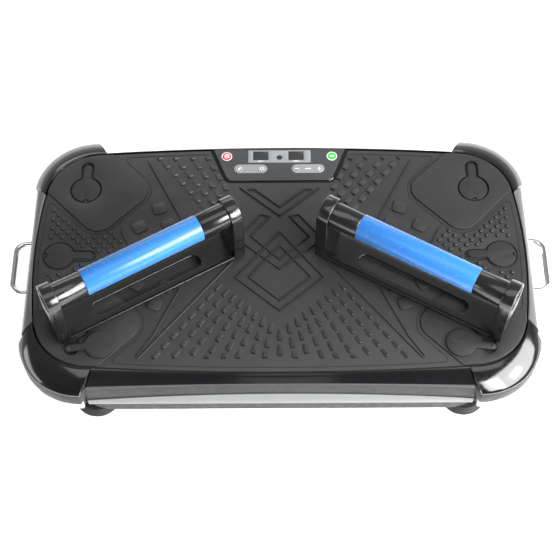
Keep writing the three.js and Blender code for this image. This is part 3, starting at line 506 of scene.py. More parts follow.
def textured_rubber(name, colour, roughness, grain=1500, depth=0.00006, dark=None):
    """Moulded rubber: pebbled skin and speckle.

    Painted shade keeps some walls near-black and dull: `dark` is the normal's axis and the shares where that starts and
    ends.
    """
    finish = Finish(name)
    base = linear(colour)
    tone = finish.ramp(finish.noise(20, 5), 0.3, 0.7, shade(base, 0.88), shade(base, 1.12))
    speckle = finish.ramp(finish.noise(grain * 0.8, 2), 0.35, 0.65, shade(base, 0.80), shade(base, 1.2))
    tone = finish.blend(finish.spread(finish.noise(600, 2), 0.2, 0.6), tone, speckle)
    gloss = finish.spread(finish.noise(160, 4), roughness * 0.86, roughness * 1.14)
    if dark:
        # painted shade: walls picked out by the object's own normal get a near-black colour and a rough, dull gloss
        wall = finish.own_normal(*dark)
        tone = finish.blend(wall, tone, shade(base, 0.05))
        gloss = finish.blend(wall, gloss, (0.95, 0.95, 0.95, 1))
    pebbles = finish.bump(finish.cells(grain), depth)
    skin = finish.bump(finish.noise(grain * 2.2, 2), depth * 0.35, pebbles)
    return finish.feed(Base_Color=tone, Roughness=gloss, Normal=skin).material


def metal(name, colour, roughness, stretch=(1, 1, 1), depth=0.000006):
    """Bare or plated metal with fine marks along one direction."""
    finish = Finish(name)
    base = linear(colour)
    tone = finish.ramp(finish.noise(60, 4), 0.3, 0.7, shade(base, 0.9), shade(base, 1.05))
    marks = finish.noise(900, 3, stretch=stretch)
    gloss = finish.spread(marks, roughness * 0.75, roughness * 1.35)
    finish.set(Metallic=1.0)
    return finish.feed(Base_Color=tone, Roughness=gloss, Normal=finish.bump(marks, depth)).material


def lacquered(name, colour, roughness):
    """Silver lacquer: metal flake under a clear coat, with a faint brushing along the length."""
    finish = Finish(name)
    base = linear(colour)
    flake = finish.ramp(finish.noise(2400, 2), 0.35, 0.65, shade(base, 0.90), shade(base, 1.10))
    tone = finish.ramp(finish.noise(25, 3), 0.3, 0.7, shade(base, 0.95), shade(base, 1.05))
    tone = finish.blend(finish.spread(finish.noise(500, 2), 0.2, 0.5), tone, flake)
    brushing = finish.noise(1200, 2, stretch=(0.04, 1, 1))
    gloss = finish.spread(brushing, roughness * 0.85, roughness * 1.2)
    finish.set(Metallic=0.35, Coat_Weight=0.35, Coat_Roughness=0.12)
    return finish.feed(Base_Color=tone, Roughness=gloss, Normal=finish.bump(brushing, 0.000004)).material


def grip_foam(name, colour):
    """Smooth elastomer sleeve: a close skin with small pits and a soft sheen."""
    finish = Finish(name)
    base = linear(colour)
    tone = finish.ramp(finish.noise(24, 4), 0.3, 0.7, shade(base, 0.97), shade(base, 1.03))
    pits = finish.cells(900)
    tone = finish.blend(finish.spread(finish.noise(1400, 2), 0.0, 0.15), tone, shade(base, 0.8))
    gloss = finish.spread(finish.noise(120, 4), 0.25, 0.28)
    finish.set(Sheen_Weight=0.12, Sheen_Roughness=0.4)
    skin = finish.bump(finish.noise(2500, 2), 0.000003, finish.bump(pits, 0.000002))
    return finish.feed(Base_Color=tone, Roughness=gloss, Normal=skin).material


def laminate(name, colour):
    """Circuit board: woven glass under green lacquer."""
    finish = Finish(name)
    base = linear(colour)
    weave = finish.noise(1600, 1, stretch=(1, 0.1, 1))
    tone = finish.ramp(weave, 0.3, 0.7, shade(base, 0.7), shade(base, 1.2))
    gloss = finish.spread(finish.noise(200, 3), 0.25, 0.45)
    return finish.feed(Base_Color=tone, Roughness=gloss, Normal=finish.bump(weave, 0.00002)).material


GLOSS_BLACK = polished("gloss_black", "08080a")
HANDLE_BLACK = polished("handle_black", "111112", roughness=0.16)
# painted shade: steep walls of the mat's ground, holes, plates, lines and studs are darkened
MAT_RUBBER = textured_rubber("mat_rubber", "2b2b2b", 0.36, dark=("Z", 0.93, 0.68))
# painted shade: relief walls facing -Y, away from the key light, are darkened
RELIEF_RUBBER = textured_rubber("mat_relief", "2b2b2b", 0.36, dark=("Y", -0.62, -0.74))
# painted shade: steep walls of the socket covers are darkened
COVER_RUBBER = textured_rubber("cover_rubber", "202020", 0.50, grain=1900, dark=("Z", 0.93, 0.68))
DARK_RUBBER = textured_rubber("dark_rubber", "1d1d1d", 0.62, grain=1200)
GREY_SHELL = moulded("grey_shell", "2b2c2c", 0.48, reflection=0.25)
DARK_SHELL = moulded("dark_shell", "161617", 0.5)
PALE_SHELL = moulded("pale_shell", "b4b4b4", 0.36, variation=0.03)
SILVER = lacquered("silver_trim", "6b6c6d", 0.34)
PANEL_GREY = moulded("panel_grey", "3a3b3c", 0.42, grain=3200)
PRINT_GREY = moulded("print_grey", "858789", 0.42, variation=0.03)
PRINT_WHITE = moulded("print_white", "ececec", 0.38, variation=0.02)
RED_KEY = moulded("red_button", "e0332f", 0.34, variation=0.04)
GREEN_KEY = moulded("green_button", "35c437", 0.34, variation=0.04)
GREY_KEY = moulded("grey_button", "77797b", 0.38, variation=0.03)
SCREEN = moulded("screen", "303132", 0.22, variation=0.03)
BLUE_GRIP = grip_foam("blue_grip", "2c70b8")
CHROME = metal("chrome", "e8e8ea", 0.12)
STEEL = metal("bare_steel", "9a9ea2", 0.32, stretch=(0.05, 1, 1), depth=0.00002)
MOTOR_PAINT = moulded("motor_paint", "2b2e31", 0.45, grain=1200, depth=0.00004)
BOARD = laminate("circuit_board", "1f6b3a")

KEPT_FINISHES = {
    "pale_shell": PALE_SHELL, "dark_rubber": DARK_RUBBER, "bare_steel": STEEL, "motor_paint": MOTOR_PAINT,
    "circuit_board": BOARD, "gloss_black": GLOSS_BLACK, "grey_shell": GREY_SHELL, "silver_trim": SILVER,
    "mat_rubber": MAT_RUBBER, "panel_grey": PANEL_GREY, "blue_grip": BLUE_GRIP, "chrome": CHROME,
    "red_button": RED_KEY, "green_button": GREEN_KEY, "grey_button": GREY_KEY, "dark_shell": DARK_SHELL,
}


def finish_kept_nodes():
    """Gives every CAD node a procedural material, by its slot in the record."""
    for part in frame["record"]["subparts"]:
        node = frame["nodes"][part["node"]]
        node.data.materials.clear()
        node.data.materials.append(KEPT_FINISHES[part["material_slot"]])


finish_kept_nodes()


# ---------------------------------------------------------------- the deck's plan
MAT_LOW, MAT_HIGH, _ = span("mat")
MAT_HALF_X, MAT_HALF_Y = MAT_HIGH.x, MAT_HIGH.y
MAT_BOTTOM, DECK_TOP = MAT_LOW.z, MAT_HIGH.z
GROUND = DECK_TOP - 2.4                # the mat's flat surface between its raised pattern
RELIEF = DECK_TOP - 0.1                # top of the raised pattern
BURIED = GROUND - 0.6                  # raised pieces start this far inside the mat
SEAM_Z = span("front_bezel")[1].z      # inner edge of the trim round the mat
SIDE_CHORD, SIDE_RISE = 97, 7
END_CHORD, END_RISE = 247, 8
CORNER_R = 78
CLEARANCE = 1.3                        # mat edge to the trim round it

SIDE_R = (SIDE_CHORD ** 2 + SIDE_RISE ** 2) / (2 * SIDE_RISE)
END_R = (END_CHORD ** 2 + END_RISE ** 2) / (2 * END_RISE)
SIDE_X = MAT_HALF_X - SIDE_R           # centre of the long arcs at the short sides
END_Y = MAT_HALF_Y - END_R             # centre of the long arcs at the front and rear


def corner_centre():
    """Centre of the corner arc, which touches both long arcs from inside."""
    to_side, to_end = SIDE_R - CORNER_R, END_R - CORNER_R
    reach = math.hypot(SIDE_X, END_Y)
    along = (to_side ** 2 - to_end ** 2 + reach ** 2) / (2 * reach)
    off = math.sqrt(to_side ** 2 - along ** 2)
    ux, uy = -SIDE_X / reach, END_Y / reach
    return Vector((SIDE_X + along * ux - off * uy, along * uy + off * ux))


CORNER = corner_centre()
SIDE_ANGLE = math.atan2(CORNER.y, CORNER.x - SIDE_X)
END_ANGLE = math.atan2(CORNER.x, CORNER.y - END_Y)


def end_y(x, offset):
    return END_Y + math.sqrt((END_R + offset) ** 2 - x ** 2)


def side_x(y, offset):
    return SIDE_X + math.sqrt((SIDE_R + offset) ** 2 - y ** 2)


def mat_outline(offset, step=4.0):
    """The mat's edge moved outward by `offset`, anticlockwise from the middle of the right side."""
    quarter = math.pi / 2
    points = []
    for i in range(4):
        turn = i * quarter
        along_x = i % 2 == 0
        sign = 1 if i < 2 else -1
        centre = (sign * SIDE_X, 0) if along_x else (0, sign * END_Y)
        radius, half = (SIDE_R, SIDE_ANGLE) if along_x else (END_R, END_ANGLE)
        points += arc(*centre, radius + offset, turn - half, turn + half, step)[:-1]
        sx, sy = ((1, 1), (-1, 1), (-1, -1), (1, -1))[i]
        start = turn + half
        end = turn + quarter - (END_ANGLE if along_x else SIDE_ANGLE)
        points += arc(sx * CORNER.x, sy * CORNER.y, CORNER_R + offset, start, end, step / 2)[:-1]
    return points


# ---------------------------------------------------------------- sockets
SOCKET_R = 23.8
COVERED_R = 22.4                       # mat opening round a closed cover
SLOT_HALF = 9
TIP_CLEARANCE = 4


def socket(kind, side):
    """Centre, direction of the tongue and reach of its slot, from the cover that closes the socket."""
    low, high, middle = span(f"socket_cover_{kind}_{side}")
    if kind == "rear":
        r = (high.x - low.x) / 2
        return Vector((middle.x, low.y + r)), math.pi / 2, high.y - low.y - r + TIP_CLEARANCE
    r = (high.y - low.y) / 2
    inward = 1 if side == "left" else -1
    x = low.x + r if side == "left" else high.x - r
    turn = 0 if inward > 0 else math.pi
    return Vector((x, middle.y)), turn, high.x - low.x - r + TIP_CLEARANCE


def keyhole(r, tongue_half, reach, step=0.9):
    """Disc with a round-ended tongue along local X."""
    opening = math.asin(tongue_half / r)
    quarter = math.pi / 2
    points = arc(0, 0, r, opening, 2 * math.pi - opening, step)
    return points + arc(reach - tongue_half, 0, tongue_half, -quarter, quarter, step)


def all_sockets():
    """Every socket as (centre, turn, reach, radius)."""
    found = [(*socket(kind, side), COVERED_R) for kind in ("rear", "middle") for side, _ in SIDES]
    for side, _ in SIDES:
        centre = span(f"locking_foot_{side}")[2]
        found.append((Vector((centre.x, centre.y)), -math.pi / 2, 47, SOCKET_R))
    return found


# ---------------------------------------------------------------- mat
PANEL_LOW, PANEL_HIGH, _ = span("control_panel")
PANEL_GAP = 2.6
PANEL_FRONT_HALF = 76
PANEL_CORNER_R = 10


def panel_outline(offset, rear_y):
    """Trapezoid with round front corners, anticlockwise."""
    slope = (PANEL_HIGH.x - PANEL_FRONT_HALF) / (PANEL_HIGH.y - PANEL_LOW.y)
    rear_half = PANEL_HIGH.x + slope * (rear_y - PANEL_HIGH.y) + offset
    lean = math.atan(slope)
    cx = PANEL_FRONT_HALF - PANEL_CORNER_R + slope * PANEL_CORNER_R
    cy = PANEL_LOW.y + PANEL_CORNER_R
    r = PANEL_CORNER_R + offset
    step = r / 12
    left = arc(-cx, cy, r, math.pi + lean, 1.5 * math.pi, step)
    right = arc(cx, cy, r, 1.5 * math.pi, 2 * math.pi - lean, step)
    return [(rear_half, rear_y), (-rear_half, rear_y)] + left + right


MAT_SEAM = 0.7                         # how far the sheet stays inside the mat's nominal edge


def notched_mat_outline(offset):
    """The mat's edge with the control panel's bay let into the rear."""
    bay = panel_outline(PANEL_GAP - offset, MAT_HALF_Y)
    half = bay[0][0]
    edge = mat_outline(offset)
    first = next(i for i, (x, y) in enumerate(edge) if y > 0 and x < half)
    last = max(i for i, (x, y) in enumerate(edge) if y > 0 and x > -half)
    bay_path = [(x, y) for x, y in bay[2:]][::-1]
    slope = (PANEL_HIGH.x - PANEL_FRONT_HALF) / (PANEL_HIGH.y - PANEL_LOW.y)
    lift = end_y(half, offset) - MAT_HALF_Y
    right, left = half + slope * lift, -half - slope * lift
    rear = end_y(half, offset)
    return edge[:first] + [(right, rear)] + bay_path + [(left, rear)] + edge[last + 1:]


# Raised bricks of the front fan: one column for each entry, first brick and angle from -Y
FAN_COLUMNS = 9
FAN_FRONT = -161
FAN = {
    "x": (0, 11, 21.3, 31.7, 41.3, 51.3, 61, 70.7, 80.5),
    "y": (-117, -106.5, -97.7, -88.8, -80.5, -71.5, -63.2, -54.4, -45.9),
    "angle": (0, 9.7, 14.7, 19.1, 23.1, 27.7, 31.9, 34.7, 37.9),
    "pitch": (22.5, 22.2, 21, 20.4, 19.9, 19.26, 18.9, 18.84, 18.78),
}
BRICK_GAP = 4.7
REAR_ROWS = (
    # first brick's front edge, step to the next, number of bricks
    ((172, 163), (-11.6, -14.9), 7),
    ((148.7, 162.3), (-11.05, -15.4), 6),
    ((124.3, 162.1), (-9.85, -16.3), 5),
    ((102, 161.3), (-8.9, -17.6), 4),
)
REAR_BRICK = {"length": 13.5, "width": 7.5, "limit": 166}


def cut_at(points, y_limit, keep_above):
    """Clips a convex outline at a horizontal line."""
    kept = []
    for i, (x, y) in enumerate(points):
        px, py = points[i - 1]
        inside = y >= y_limit if keep_above else y <= y_limit
        was_inside = py >= y_limit if keep_above else py <= y_limit
        if inside != was_inside:
            t = (y_limit - py) / (y - py)
            kept.append((px + t * (x - px), y_limit))
        if inside:
            kept.append((x, y))
    return kept


BRICK_LEAN = 1.4                       # the front wall leans back this far


def brick(shell, outline, front, along, length, mirror):
    """Wedge of full height at its front end, which runs out into the mat at its rear end."""
    rings = [[(x, y, BURIED) for x, y in outline]]
    for inset, share in ((0, 0), (0.6, 1)):
        ring = []
        for x, y in shrink(outline, inset):
            back = min(1, max(0, (front - Vector((x, y))).dot(along) / length))
            lean = along * (BRICK_LEAN * share * (1 - back))
            ring.append((x - lean.x, y - lean.y, GROUND + (RELIEF - GROUND) * (1 - 0.9 * back) * share))
        rings.append(ring)
    shell.loft(rings, place=Matrix.Diagonal((mirror, 1, 1, 1)))


def fan_bricks(shell, mirror):
    for k in range(FAN_COLUMNS):
        if k == 0 and mirror < 0:
            continue
        angle = math.radians(FAN["angle"][k])
        pitch = FAN["pitch"][k]
        length = pitch - BRICK_GAP
        along = Vector((math.sin(angle), -math.cos(angle)))
        n = 0
        while True:
            start = Vector((FAN["x"][k], FAN["y"][k])) + along * pitch * n
            width = 4 + 0.2 * n + 0.35 * (FAN_COLUMNS - 1 - k)
            if start.y < FAN_FRONT + 3:
                break
            centre = start + along * length / 2
            outline = turn_and_move(
                rounded_rectangle(width / 2, length / 2, 0.9, 0.6), centre.x, centre.y, angle)
            outline = cut_at(outline, FAN_FRONT, keep_above=True)
            front = start + along * min(length, (FAN_FRONT - start.y) / along.y)
            brick(shell, outline, front, along, length, mirror)
            n += 1


def rear_bricks(shell, mirror):
    for (x, y), (dx, dy), count in REAR_ROWS:
        along = Vector((dx, dy)).normalized()
        angle = math.atan2(along.x, -along.y)
        for n in range(count):
            front = Vector((x, y)) + Vector((dx, dy)) * n
            centre = front - along * REAR_BRICK["length"] / 2
            outline = turn_and_move(
                rounded_rectangle(REAR_BRICK["width"] / 2, REAR_BRICK["length"] / 2, 0.9, 0.6),
                centre.x, centre.y, angle)
            outline = cut_at(outline, REAR_BRICK["limit"], keep_above=False)
            brick(shell, outline, front, along, REAR_BRICK["length"], mirror)


LINE_WIDTH = 2.2


def centre_lines(shell):
    """Crossing diamonds and chevrons in the middle of the mat."""
    paths = [
        [(-57, 113), (0, 65), (57, 113)],
        [(-46, 110), (-36, 110), (0, 80), (36, 110), (46, 110)],
    ]
    rings = [
        [(0, 38), (-61, -37), (0, -89), (61, -37)],
        [(0, 15), (-43, -36), (0, -73), (43, -36)],
        [(27, 67), (60, 26), (0, -23), (-60, 26), (-27, 67), (-14, 64), (-41, 31), (0, -7.5), (41, 31), (14, 64)],
    ]
    for i, path in enumerate(paths):
        shell.ridge(path, LINE_WIDTH, BURIED, RELIEF - 0.03 * i)
    for i, path in enumerate(rings):
        shell.ridge(path, LINE_WIDTH, BURIED, RELIEF - 0.05 - 0.04 * i, looped=True)


FIELD_LINES = (
    # width and path on the right half
    (1.9, ((66, -11), (190, -161))),
    (1.1, ((137, -53), (172, -128), (192, -158))),
    (1.1, ((191, 160), (140, 60))),
    (1.1, ((225, 43), (213, 18))),
)


def field_lines(shell, mirror):
    for width, path in FIELD_LINES:
        shell.ridge([(mirror * x, y) for x, y in path], width, BURIED, RELIEF - 0.2)


PADS = ((171, 78, -18), (198, 47, -29), (157, 50, -22))
PAD_HALF = 9.6


def pads(shell, sx, sy):
    for x, y, angle in PADS:
        outline = turn_and_move(
            rounded_rectangle(PAD_HALF, PAD_HALF * 0.92, 4), sx * x, sy * y, math.radians(sx * sy * angle))
        shell.slab([outline], rounded_top(BURIED, RELIEF, 0.5, 2))


DOT_FIRST_X, DOT_PITCH = 321, 7.5
DOT_ROWS = (
    # row height, largest x, smallest x
    (75, 321, 321), (67.5, 313.5, 313.5), (60, 321, 306), (52.5, 313.5, 298.5), (45, 321, 291),
    (37.5, 313.5, 283.5), (37.5, 238.5, 238.5), (30, 321, 231), (22.5, 283.5, 223.5), (15, 276, 231),
    (7.5, 253.5, 238.5),
)
DOT_R = 3.1


def dots(shell, sx, sy, holes):
    """Round studs on a staggered grid, clear of the sockets, with their tops set back."""
    levels = ((1, BURIED, 0), (1, GROUND, 0), (0.82, GROUND + 1.6, 0.5), (0.5, RELIEF - 0.1, 0.9), (0.2, RELIEF, 1))
    turns = [math.pi * i / 8 for i in range(16)]
    for y, far, near in DOT_ROWS:
        x = far
        while x >= near - 0.1:
            spot = Vector((sx * x, sy * y))
            if all((spot - centre).length > SOCKET_R + 3.6 for centre, *_ in holes):
                shell.loft([[(spot.x + DOT_R * share * math.cos(a), spot.y + back + DOT_R * share * math.sin(a), z)
                             for a in turns] for share, z, back in levels])
            x -= 2 * DOT_PITCH


PLATE_EDGE = 1.1                       # corner plate to the mat's edge
PLATE_OUTER, PLATE_INNER = 228, 70     # x - y along the plate's two sides
PLATE_FRONT = 287.5                    # x + y along its long edge
PLATE_R = 25
TIP_R = 3


def plate_path(offset, edge_inset, tip_r):
    """A corner plate's boundary on the mat, moved outward by `offset`, as two open runs.

    The first run goes across the corner from the side to the rear, the second along the mat's corner.
    """
    shift = offset * math.sqrt(2)
    outer, inner, front = PLATE_OUTER + shift, PLATE_INNER - shift, PLATE_FRONT - shift
    low = ((front + outer) / 2, (front - outer) / 2)
    high = ((front + inner) / 2, (front - inner) / 2)
    edge = mat_outline(-edge_inset, 2.0)
    rim = [(x, y) for x, y in edge if x > 0 and y > 0 and inner < x - y < outer]
    r = PLATE_R + offset
    across = fillet(rim[0], low, high, r) + fillet(low, high, rim[-1], r)
    first = fillet(low, rim[0], rim[4], tip_r, 0.8)
    last = fillet(rim[-5], rim[-1], high, tip_r, 0.8)
    return across, first + rim[4:-4] + last


def plate_outline(sx, sy):
    across, rim = plate_path(0, PLATE_EDGE, TIP_R)
    points = [(sx * x, sy * y) for x, y in rim + across[::-1]]
    return points if sx * sy > 0 else points[::-1]


BORDER_OFFSET = 5                      # border line to the plate's edge
BORDER_INSET = 7                       # border line to the mat's edge
BORDER_WIDTH = 1.3
BORDER_TIP_R = 5


def border_line(shell):
    """Fine line round the field between the corner plates, along the mat's edge and the plates."""
    shift = BORDER_OFFSET * math.sqrt(2)
    outer, inner = PLATE_OUTER + shift, PLATE_INNER - shift
    edge = mat_outline(-BORDER_INSET, 3.0)
    across, _ = plate_path(BORDER_OFFSET, BORDER_INSET, BORDER_TIP_R)
    quarter = [(x, y) for x, y in edge if x > 0 and y >= 0]
    side = [(x, y) for x, y in quarter if x - y > outer]
    rear = [(x, y) for x, y in quarter if x - y < inner]
    turn_low = fillet(side[-3], side[-1], across[0], BORDER_TIP_R, 1.0)
    turn_high = fillet(across[-1], rear[0], rear[2], BORDER_TIP_R, 1.0)
    run = side[:-3] + turn_low + across + turn_high + rear[3:]
    bay = PANEL_HIGH.x + PANEL_GAP + 2
    for sx in (1, -1):
        for sy in (1, -1):
            path = [(sx * x, sy * y) for x, y in run if sy < 0 or x > bay or y < 100]
            shell.ridge(path, BORDER_WIDTH, BURIED, GROUND + 0.5)


def corner_plates(shell, sx, sy, holes):
    own = [hole for hole in holes if hole[0].x * sx > 0 and hole[0].y * sy > SOCKET_R]
    cuts = [turn_and_move(keyhole(r + 0.2, SLOT_HALF + 0.2, reach), c.x, c.y, turn)[::-1]
            for c, turn, reach, r in own]
    shell.slab([plate_outline(sx, sy)] + cuts, rounded_top(BURIED, RELIEF - 0.1, 0.8, 3))


def make_mat():
    holes = all_sockets()
    shell = Shell()
    cuts = [turn_and_move(keyhole(r, SLOT_HALF, reach), c.x, c.y, turn)[::-1]
            for c, turn, reach, r in holes]
    shell.slab([notched_mat_outline(-MAT_SEAM)] + cuts, rounded_top(MAT_BOTTOM, GROUND, 0.8))
    centre_lines(shell)
    border_line(shell)
    for mirror in (1, -1):
        for sy in (1, -1):
            corner_plates(shell, mirror, sy, holes)
            pads(shell, mirror, sy)
            dots(shell, mirror, sy, holes)
    # the bricks and field lines take mat_relief, with painted shade on their walls facing -Y
    shell.colour = 1
    for mirror in (1, -1):
        fan_bricks(shell, mirror)
        rear_bricks(shell, mirror)
        field_lines(shell, mirror)
    shell.piece("mat_sheet", [MAT_RUBBER, RELIEF_RUBBER], "deck", ["mat"])


make_mat()


# ---------------------------------------------------------------- trim round the mat
LIP_Z = 100
BAND_BOTTOM = 74
SKIRT_BOTTOM = span("front_fascia")[0].z
BUMPER_R = 88
BUMPER_CENTRE = span("bumper_rear_right")[1].xy - Vector((BUMPER_R, BUMPER_R))
INNER_FROM, INNER_TO = math.radians(7.7), math.radians(94.3)
OUTER_FROM, OUTER_TO = math.radians(6.5), math.radians(90)
SKIRT_INSET = 4
SIDE_FACE = span("side_loop_right")[0].x + 2.0
FASCIA_FACE = span("rear_fascia")[1].y
WALL = 3.0


def bumper_spot(t, share, inset=0.0):
    """Plan point on a bumper, `t` of the way round and `share` of the way out from the mat."""
    inner = INNER_FROM + (INNER_TO - INNER_FROM) * t
    outer = OUTER_FROM + (OUTER_TO - OUTER_FROM) * t
    r = CORNER_R + CLEARANCE
    a = CORNER + Vector((math.cos(inner), math.sin(inner))) * r
    b = BUMPER_CENTRE + Vector((math.cos(outer), math.sin(outer))) * (BUMPER_R - inset)
    return a.lerp(b, share)


def cap_section():
    """(share, height) pairs from the mat's edge over the crowned top to the lip and back underneath."""
    steps = 12
    section = [(0, LIP_Z + 6), (0, SEAM_Z - 0.6), (0.008, SEAM_Z - 0.18), (0.025, SEAM_Z)]
    for i in range(1, steps):
        s = 0.025 + 0.95 * i / steps
        section.append((s, SEAM_Z - (SEAM_Z - LIP_Z - 0.6) * (0.305 * s + 0.695 * s * s)))
    return section + [(0.985, LIP_Z + 0.5), (0.997, LIP_Z - 0.2), (1, LIP_Z - 0.9), (1, LIP_Z - 2),
                      (0.985, LIP_Z - 2.6), (0.9, LIP_Z - 2.6)]


def bumper_wall(inset, inner_ends):
    """Plan outline of an upright wall round a bumper and in along its two ends."""
    steps = 40
    path = [bumper_spot(0, inner_ends[0], inset)]
    path += [bumper_spot(i / steps, 1, inset) for i in range(steps + 1)]
    path.append(bumper_spot(1, inner_ends[1], inset))
    path = [(p.x, p.y) for p in path]
    return path + shift_path(path, WALL, False)[::-1]


def make_bumper(corner, sx, sy):
    flip = Matrix.Diagonal((sx, sy, 1, 1))
    steps = 44
    cap = Shell()
    section = cap_section()
    rings = []
    for i in range(steps + 1):
        spots = [bumper_spot(i / steps, share) for share, _ in section]
        rings.append([(p.x, p.y, z) for p, (_, z) in zip(spots, section)])
    cap.loft(rings, place=flip)
    cap.piece(f"bumper_cap_{corner}", GLOSS_BLACK, "deck", [f"bumper_{corner}"])
    band = Shell()
    band.slab([bumper_wall(0, (0.62, 0.55))], rounded_both(BAND_BOTTOM, LIP_Z - 3.1, 0.7), flip)
    band.colour = 1
    band.slab([bumper_wall(SKIRT_INSET + WALL + 0.3, (0.62, 0.55))],
              rounded_both(SKIRT_BOTTOM + 3, BAND_BOTTOM + 1, 0.7), flip)
    band.piece(f"bumper_band_{corner}", [GREY_SHELL, DARK_SHELL], "deck")
    skirt = Shell()
    skirt.slab([bumper_wall(SKIRT_INSET, (0.9, 0.9))],
               rounded_both(SKIRT_BOTTOM + 2, BAND_BOTTOM + 1, 0.7), flip)
    skirt.piece(f"bumper_skirt_{corner}", PALE_SHELL, "deck")


FASCIA_HALF = span("front_fascia")[1].x
FASCIA_END, FASCIA_CROWN = 92, 14
TRIM_END, TRIM_CROWN = 62, 18
BEZEL_INNER_HALF, BEZEL_OUTER_HALF = 250.2, 260.3
END_REACH = 4.0                        # fascia and trim run on towards the bumpers' end walls


def crowned(end, crown, t):
    return end + crown * (1 - t * t)


def make_bezel(name, sy):
    """Sloped gloss strip from the mat's edge to the top of the fascia."""
    steps, rows = 60, 8
    flip = Matrix.Diagonal((1, -sy, 1, 1))
    rings = []
    for i in range(-steps, steps + 1):
        t = i / steps
        inner = Vector((BEZEL_INNER_HALF * t, end_y(BEZEL_INNER_HALF * t, CLEARANCE)))
        outer = Vector((BEZEL_OUTER_HALF * t, FASCIA_FACE))
        low = crowned(FASCIA_END, FASCIA_CROWN, t) + 0.3
        section = [(0, low - 3), (0, SEAM_Z - 0.7), (0.02, SEAM_Z - 0.2), (0.06, SEAM_Z)]
        for k in range(1, rows):
            s = 0.06 + 0.88 * k / rows
            section.append((s, SEAM_Z - (SEAM_Z - low) * (0.85 * s + 0.15 * s * s)))
        section += [(1, low + 0.1), (1, low - 0.1), (0.7, low - 3)]
        spots = [inner.lerp(outer, share) for share, _ in section]
        rings.append([(p.x, p.y, z) for p, (_, z) in zip(spots, section)])
    shell = Shell()
    shell.loft(rings, place=flip)
    shell.piece(f"{name}_strip", GLOSS_BLACK, "deck", [name])


def crowned_band(half, bottom, end, crown):
    """Outline of a band with a straight lower edge and a crowned upper edge."""
    steps = 40
    top = [(half * (1 - 2 * i / steps), crowned(end, crown, 1 - 2 * i / steps)) for i in range(steps + 1)]
    return [(-half, bottom), (half, bottom)] + top


def upright(y, facing):
    """Places an outline drawn in X and Z on a plane at `y`, its thickness growing towards `facing`."""
    turn = Matrix(((-facing, 0, 0, 0), (0, 0, facing, y), (0, 1, 0, 0), (0, 0, 0, 1)))
    return turn


def make_fascias():
    for name, facing in (("front_fascia", -1), ("rear_fascia", 1)):
        shell = Shell()
        shell.slab([crowned_band(FASCIA_HALF + END_REACH, SKIRT_BOTTOM, FASCIA_END, FASCIA_CROWN)],
                   rounded_top(0, WALL, 0.6), upright(facing * (FASCIA_FACE - WALL), facing))
        shell.piece(f"{name}_panel", GREY_SHELL, "deck", [name])
    low, high, _ = span("front_trim")
    shell = Shell()
    shell.slab([crowned_band(high.x + END_REACH, low.z, TRIM_END, TRIM_CROWN)],
               rounded_top(0, high.y - low.y, 0.5), upright(high.y, -1))
    shell.piece("front_trim_band", SILVER, "deck", ["front_trim"])


def along_y(x):
    """Places an outline drawn in Y and Z, its thickness growing along X from `x`."""
    return Matrix(((0, 0, 1, x), (1, 0, 0, 0), (0, 1, 0, 0), (0, 0, 0, 1)))


LOOP_LOW, LOOP_HIGH, LOOP_MIDDLE = span("side_loop_right")
RECESS_HALF, RECESS_R, RECESS_DEPTH = 54, 13, 2
WALL_INNER_HALF, WALL_OUTER_HALF = 102.6, 117.6


def make_side_wall(side, sx):
    steps = 40
    inside = SIDE_FACE - 3.5
    rings = []
    for i in range(-steps, steps + 1):
        t = i / steps
        inner = Vector((side_x(WALL_INNER_HALF * t, CLEARANCE), WALL_INNER_HALF * t))
        outer = Vector((SIDE_FACE, WALL_OUTER_HALF * t))
        section = [(0, 106), (0, SEAM_Z - 0.7), (0.04, SEAM_Z - 0.2), (0.1, SEAM_Z), (0.35, 117.3), (0.65, 115.5),
                   (0.82, 113.2), (0.94, 110.6), (0.985, 109), (1, 107.6)]
        ring = []
        for share, z in section:
            p = inner.lerp(outer, share)
            ring.append((p.x, p.y, z))
        ring += [(SIDE_FACE, outer.y, SKIRT_BOTTOM + 0.6), (SIDE_FACE - 0.6, outer.y, SKIRT_BOTTOM),
                 (inside, outer.y, SKIRT_BOTTOM), (inside, outer.y, 104)]
        rings.append(ring)
    shell = Shell()
    flip = Matrix.Diagonal((sx, 1, 1, 1))
    shell.loft(rings, place=flip)
    wall = shell.piece(f"side_panel_{side}", SILVER, "deck", [f"side_wall_{side}"])
    cutter = Shell()
    floor = SIDE_FACE - RECESS_DEPTH
    levels = [(1.2, 0), (0.35, 0.25), (0, 0.9), (0, RECESS_DEPTH - 0.5), (-0.5, RECESS_DEPTH), (-1.5, RECESS_DEPTH + 1)]
    cutter.slab([[(x, y + LOOP_MIDDLE.z) for x, y in stadium(RECESS_HALF, RECESS_R)]], levels,
                flip @ along_y(floor))
    drill(wall, [cutter])


def make_side_loop(side, sx):
    rod, half, bend = 4.0, 40.0, 15.0
    reach = LOOP_HIGH.x - rod
    floor = SIDE_FACE - RECESS_DEPTH
    corners = [fillet((floor, half), (reach, half), (reach, 0), bend, 1.2),
               fillet((reach, 0), (reach, -half), (floor, -half), bend, 1.2)]
    path = [(floor + 1, half)] + corners[0] + corners[1] + [(floor + 1, -half)]
    flip = Matrix.Diagonal((sx, 1, 1, 1))
    shell = Shell()
    shell.sweep([(x, y, LOOP_MIDDLE.z) for x, y in path], rod, 24, place=flip)
    collar = [(0, 0), (9.6, 0), (10, 0.4), (10, 1.6), (9.4, 2.4), (6.5, 3), (5.2, 3.8), (4.6, 5), (4.1, 6.5), (0, 6.5)]
    for y in (half, -half):
        stand = Matrix.Translation((floor + 0.3, y, LOOP_MIDDLE.z)) @ Matrix.Rotation(math.pi / 2, 4, "Y")
        shell.turned(collar, 40, flip @ stand)
    shell.piece(f"band_loop_{side}", CHROME, "deck", [f"side_loop_{side}"])


for corner, sx, sy in CORNERS:
    make_bumper(corner, sx, sy)
make_bezel("front_bezel", 1)
make_bezel("rear_bezel", -1)
make_fascias()
for side, sx in SIDES:
    make_side_wall(side, sx)
    make_side_loop(side, sx)


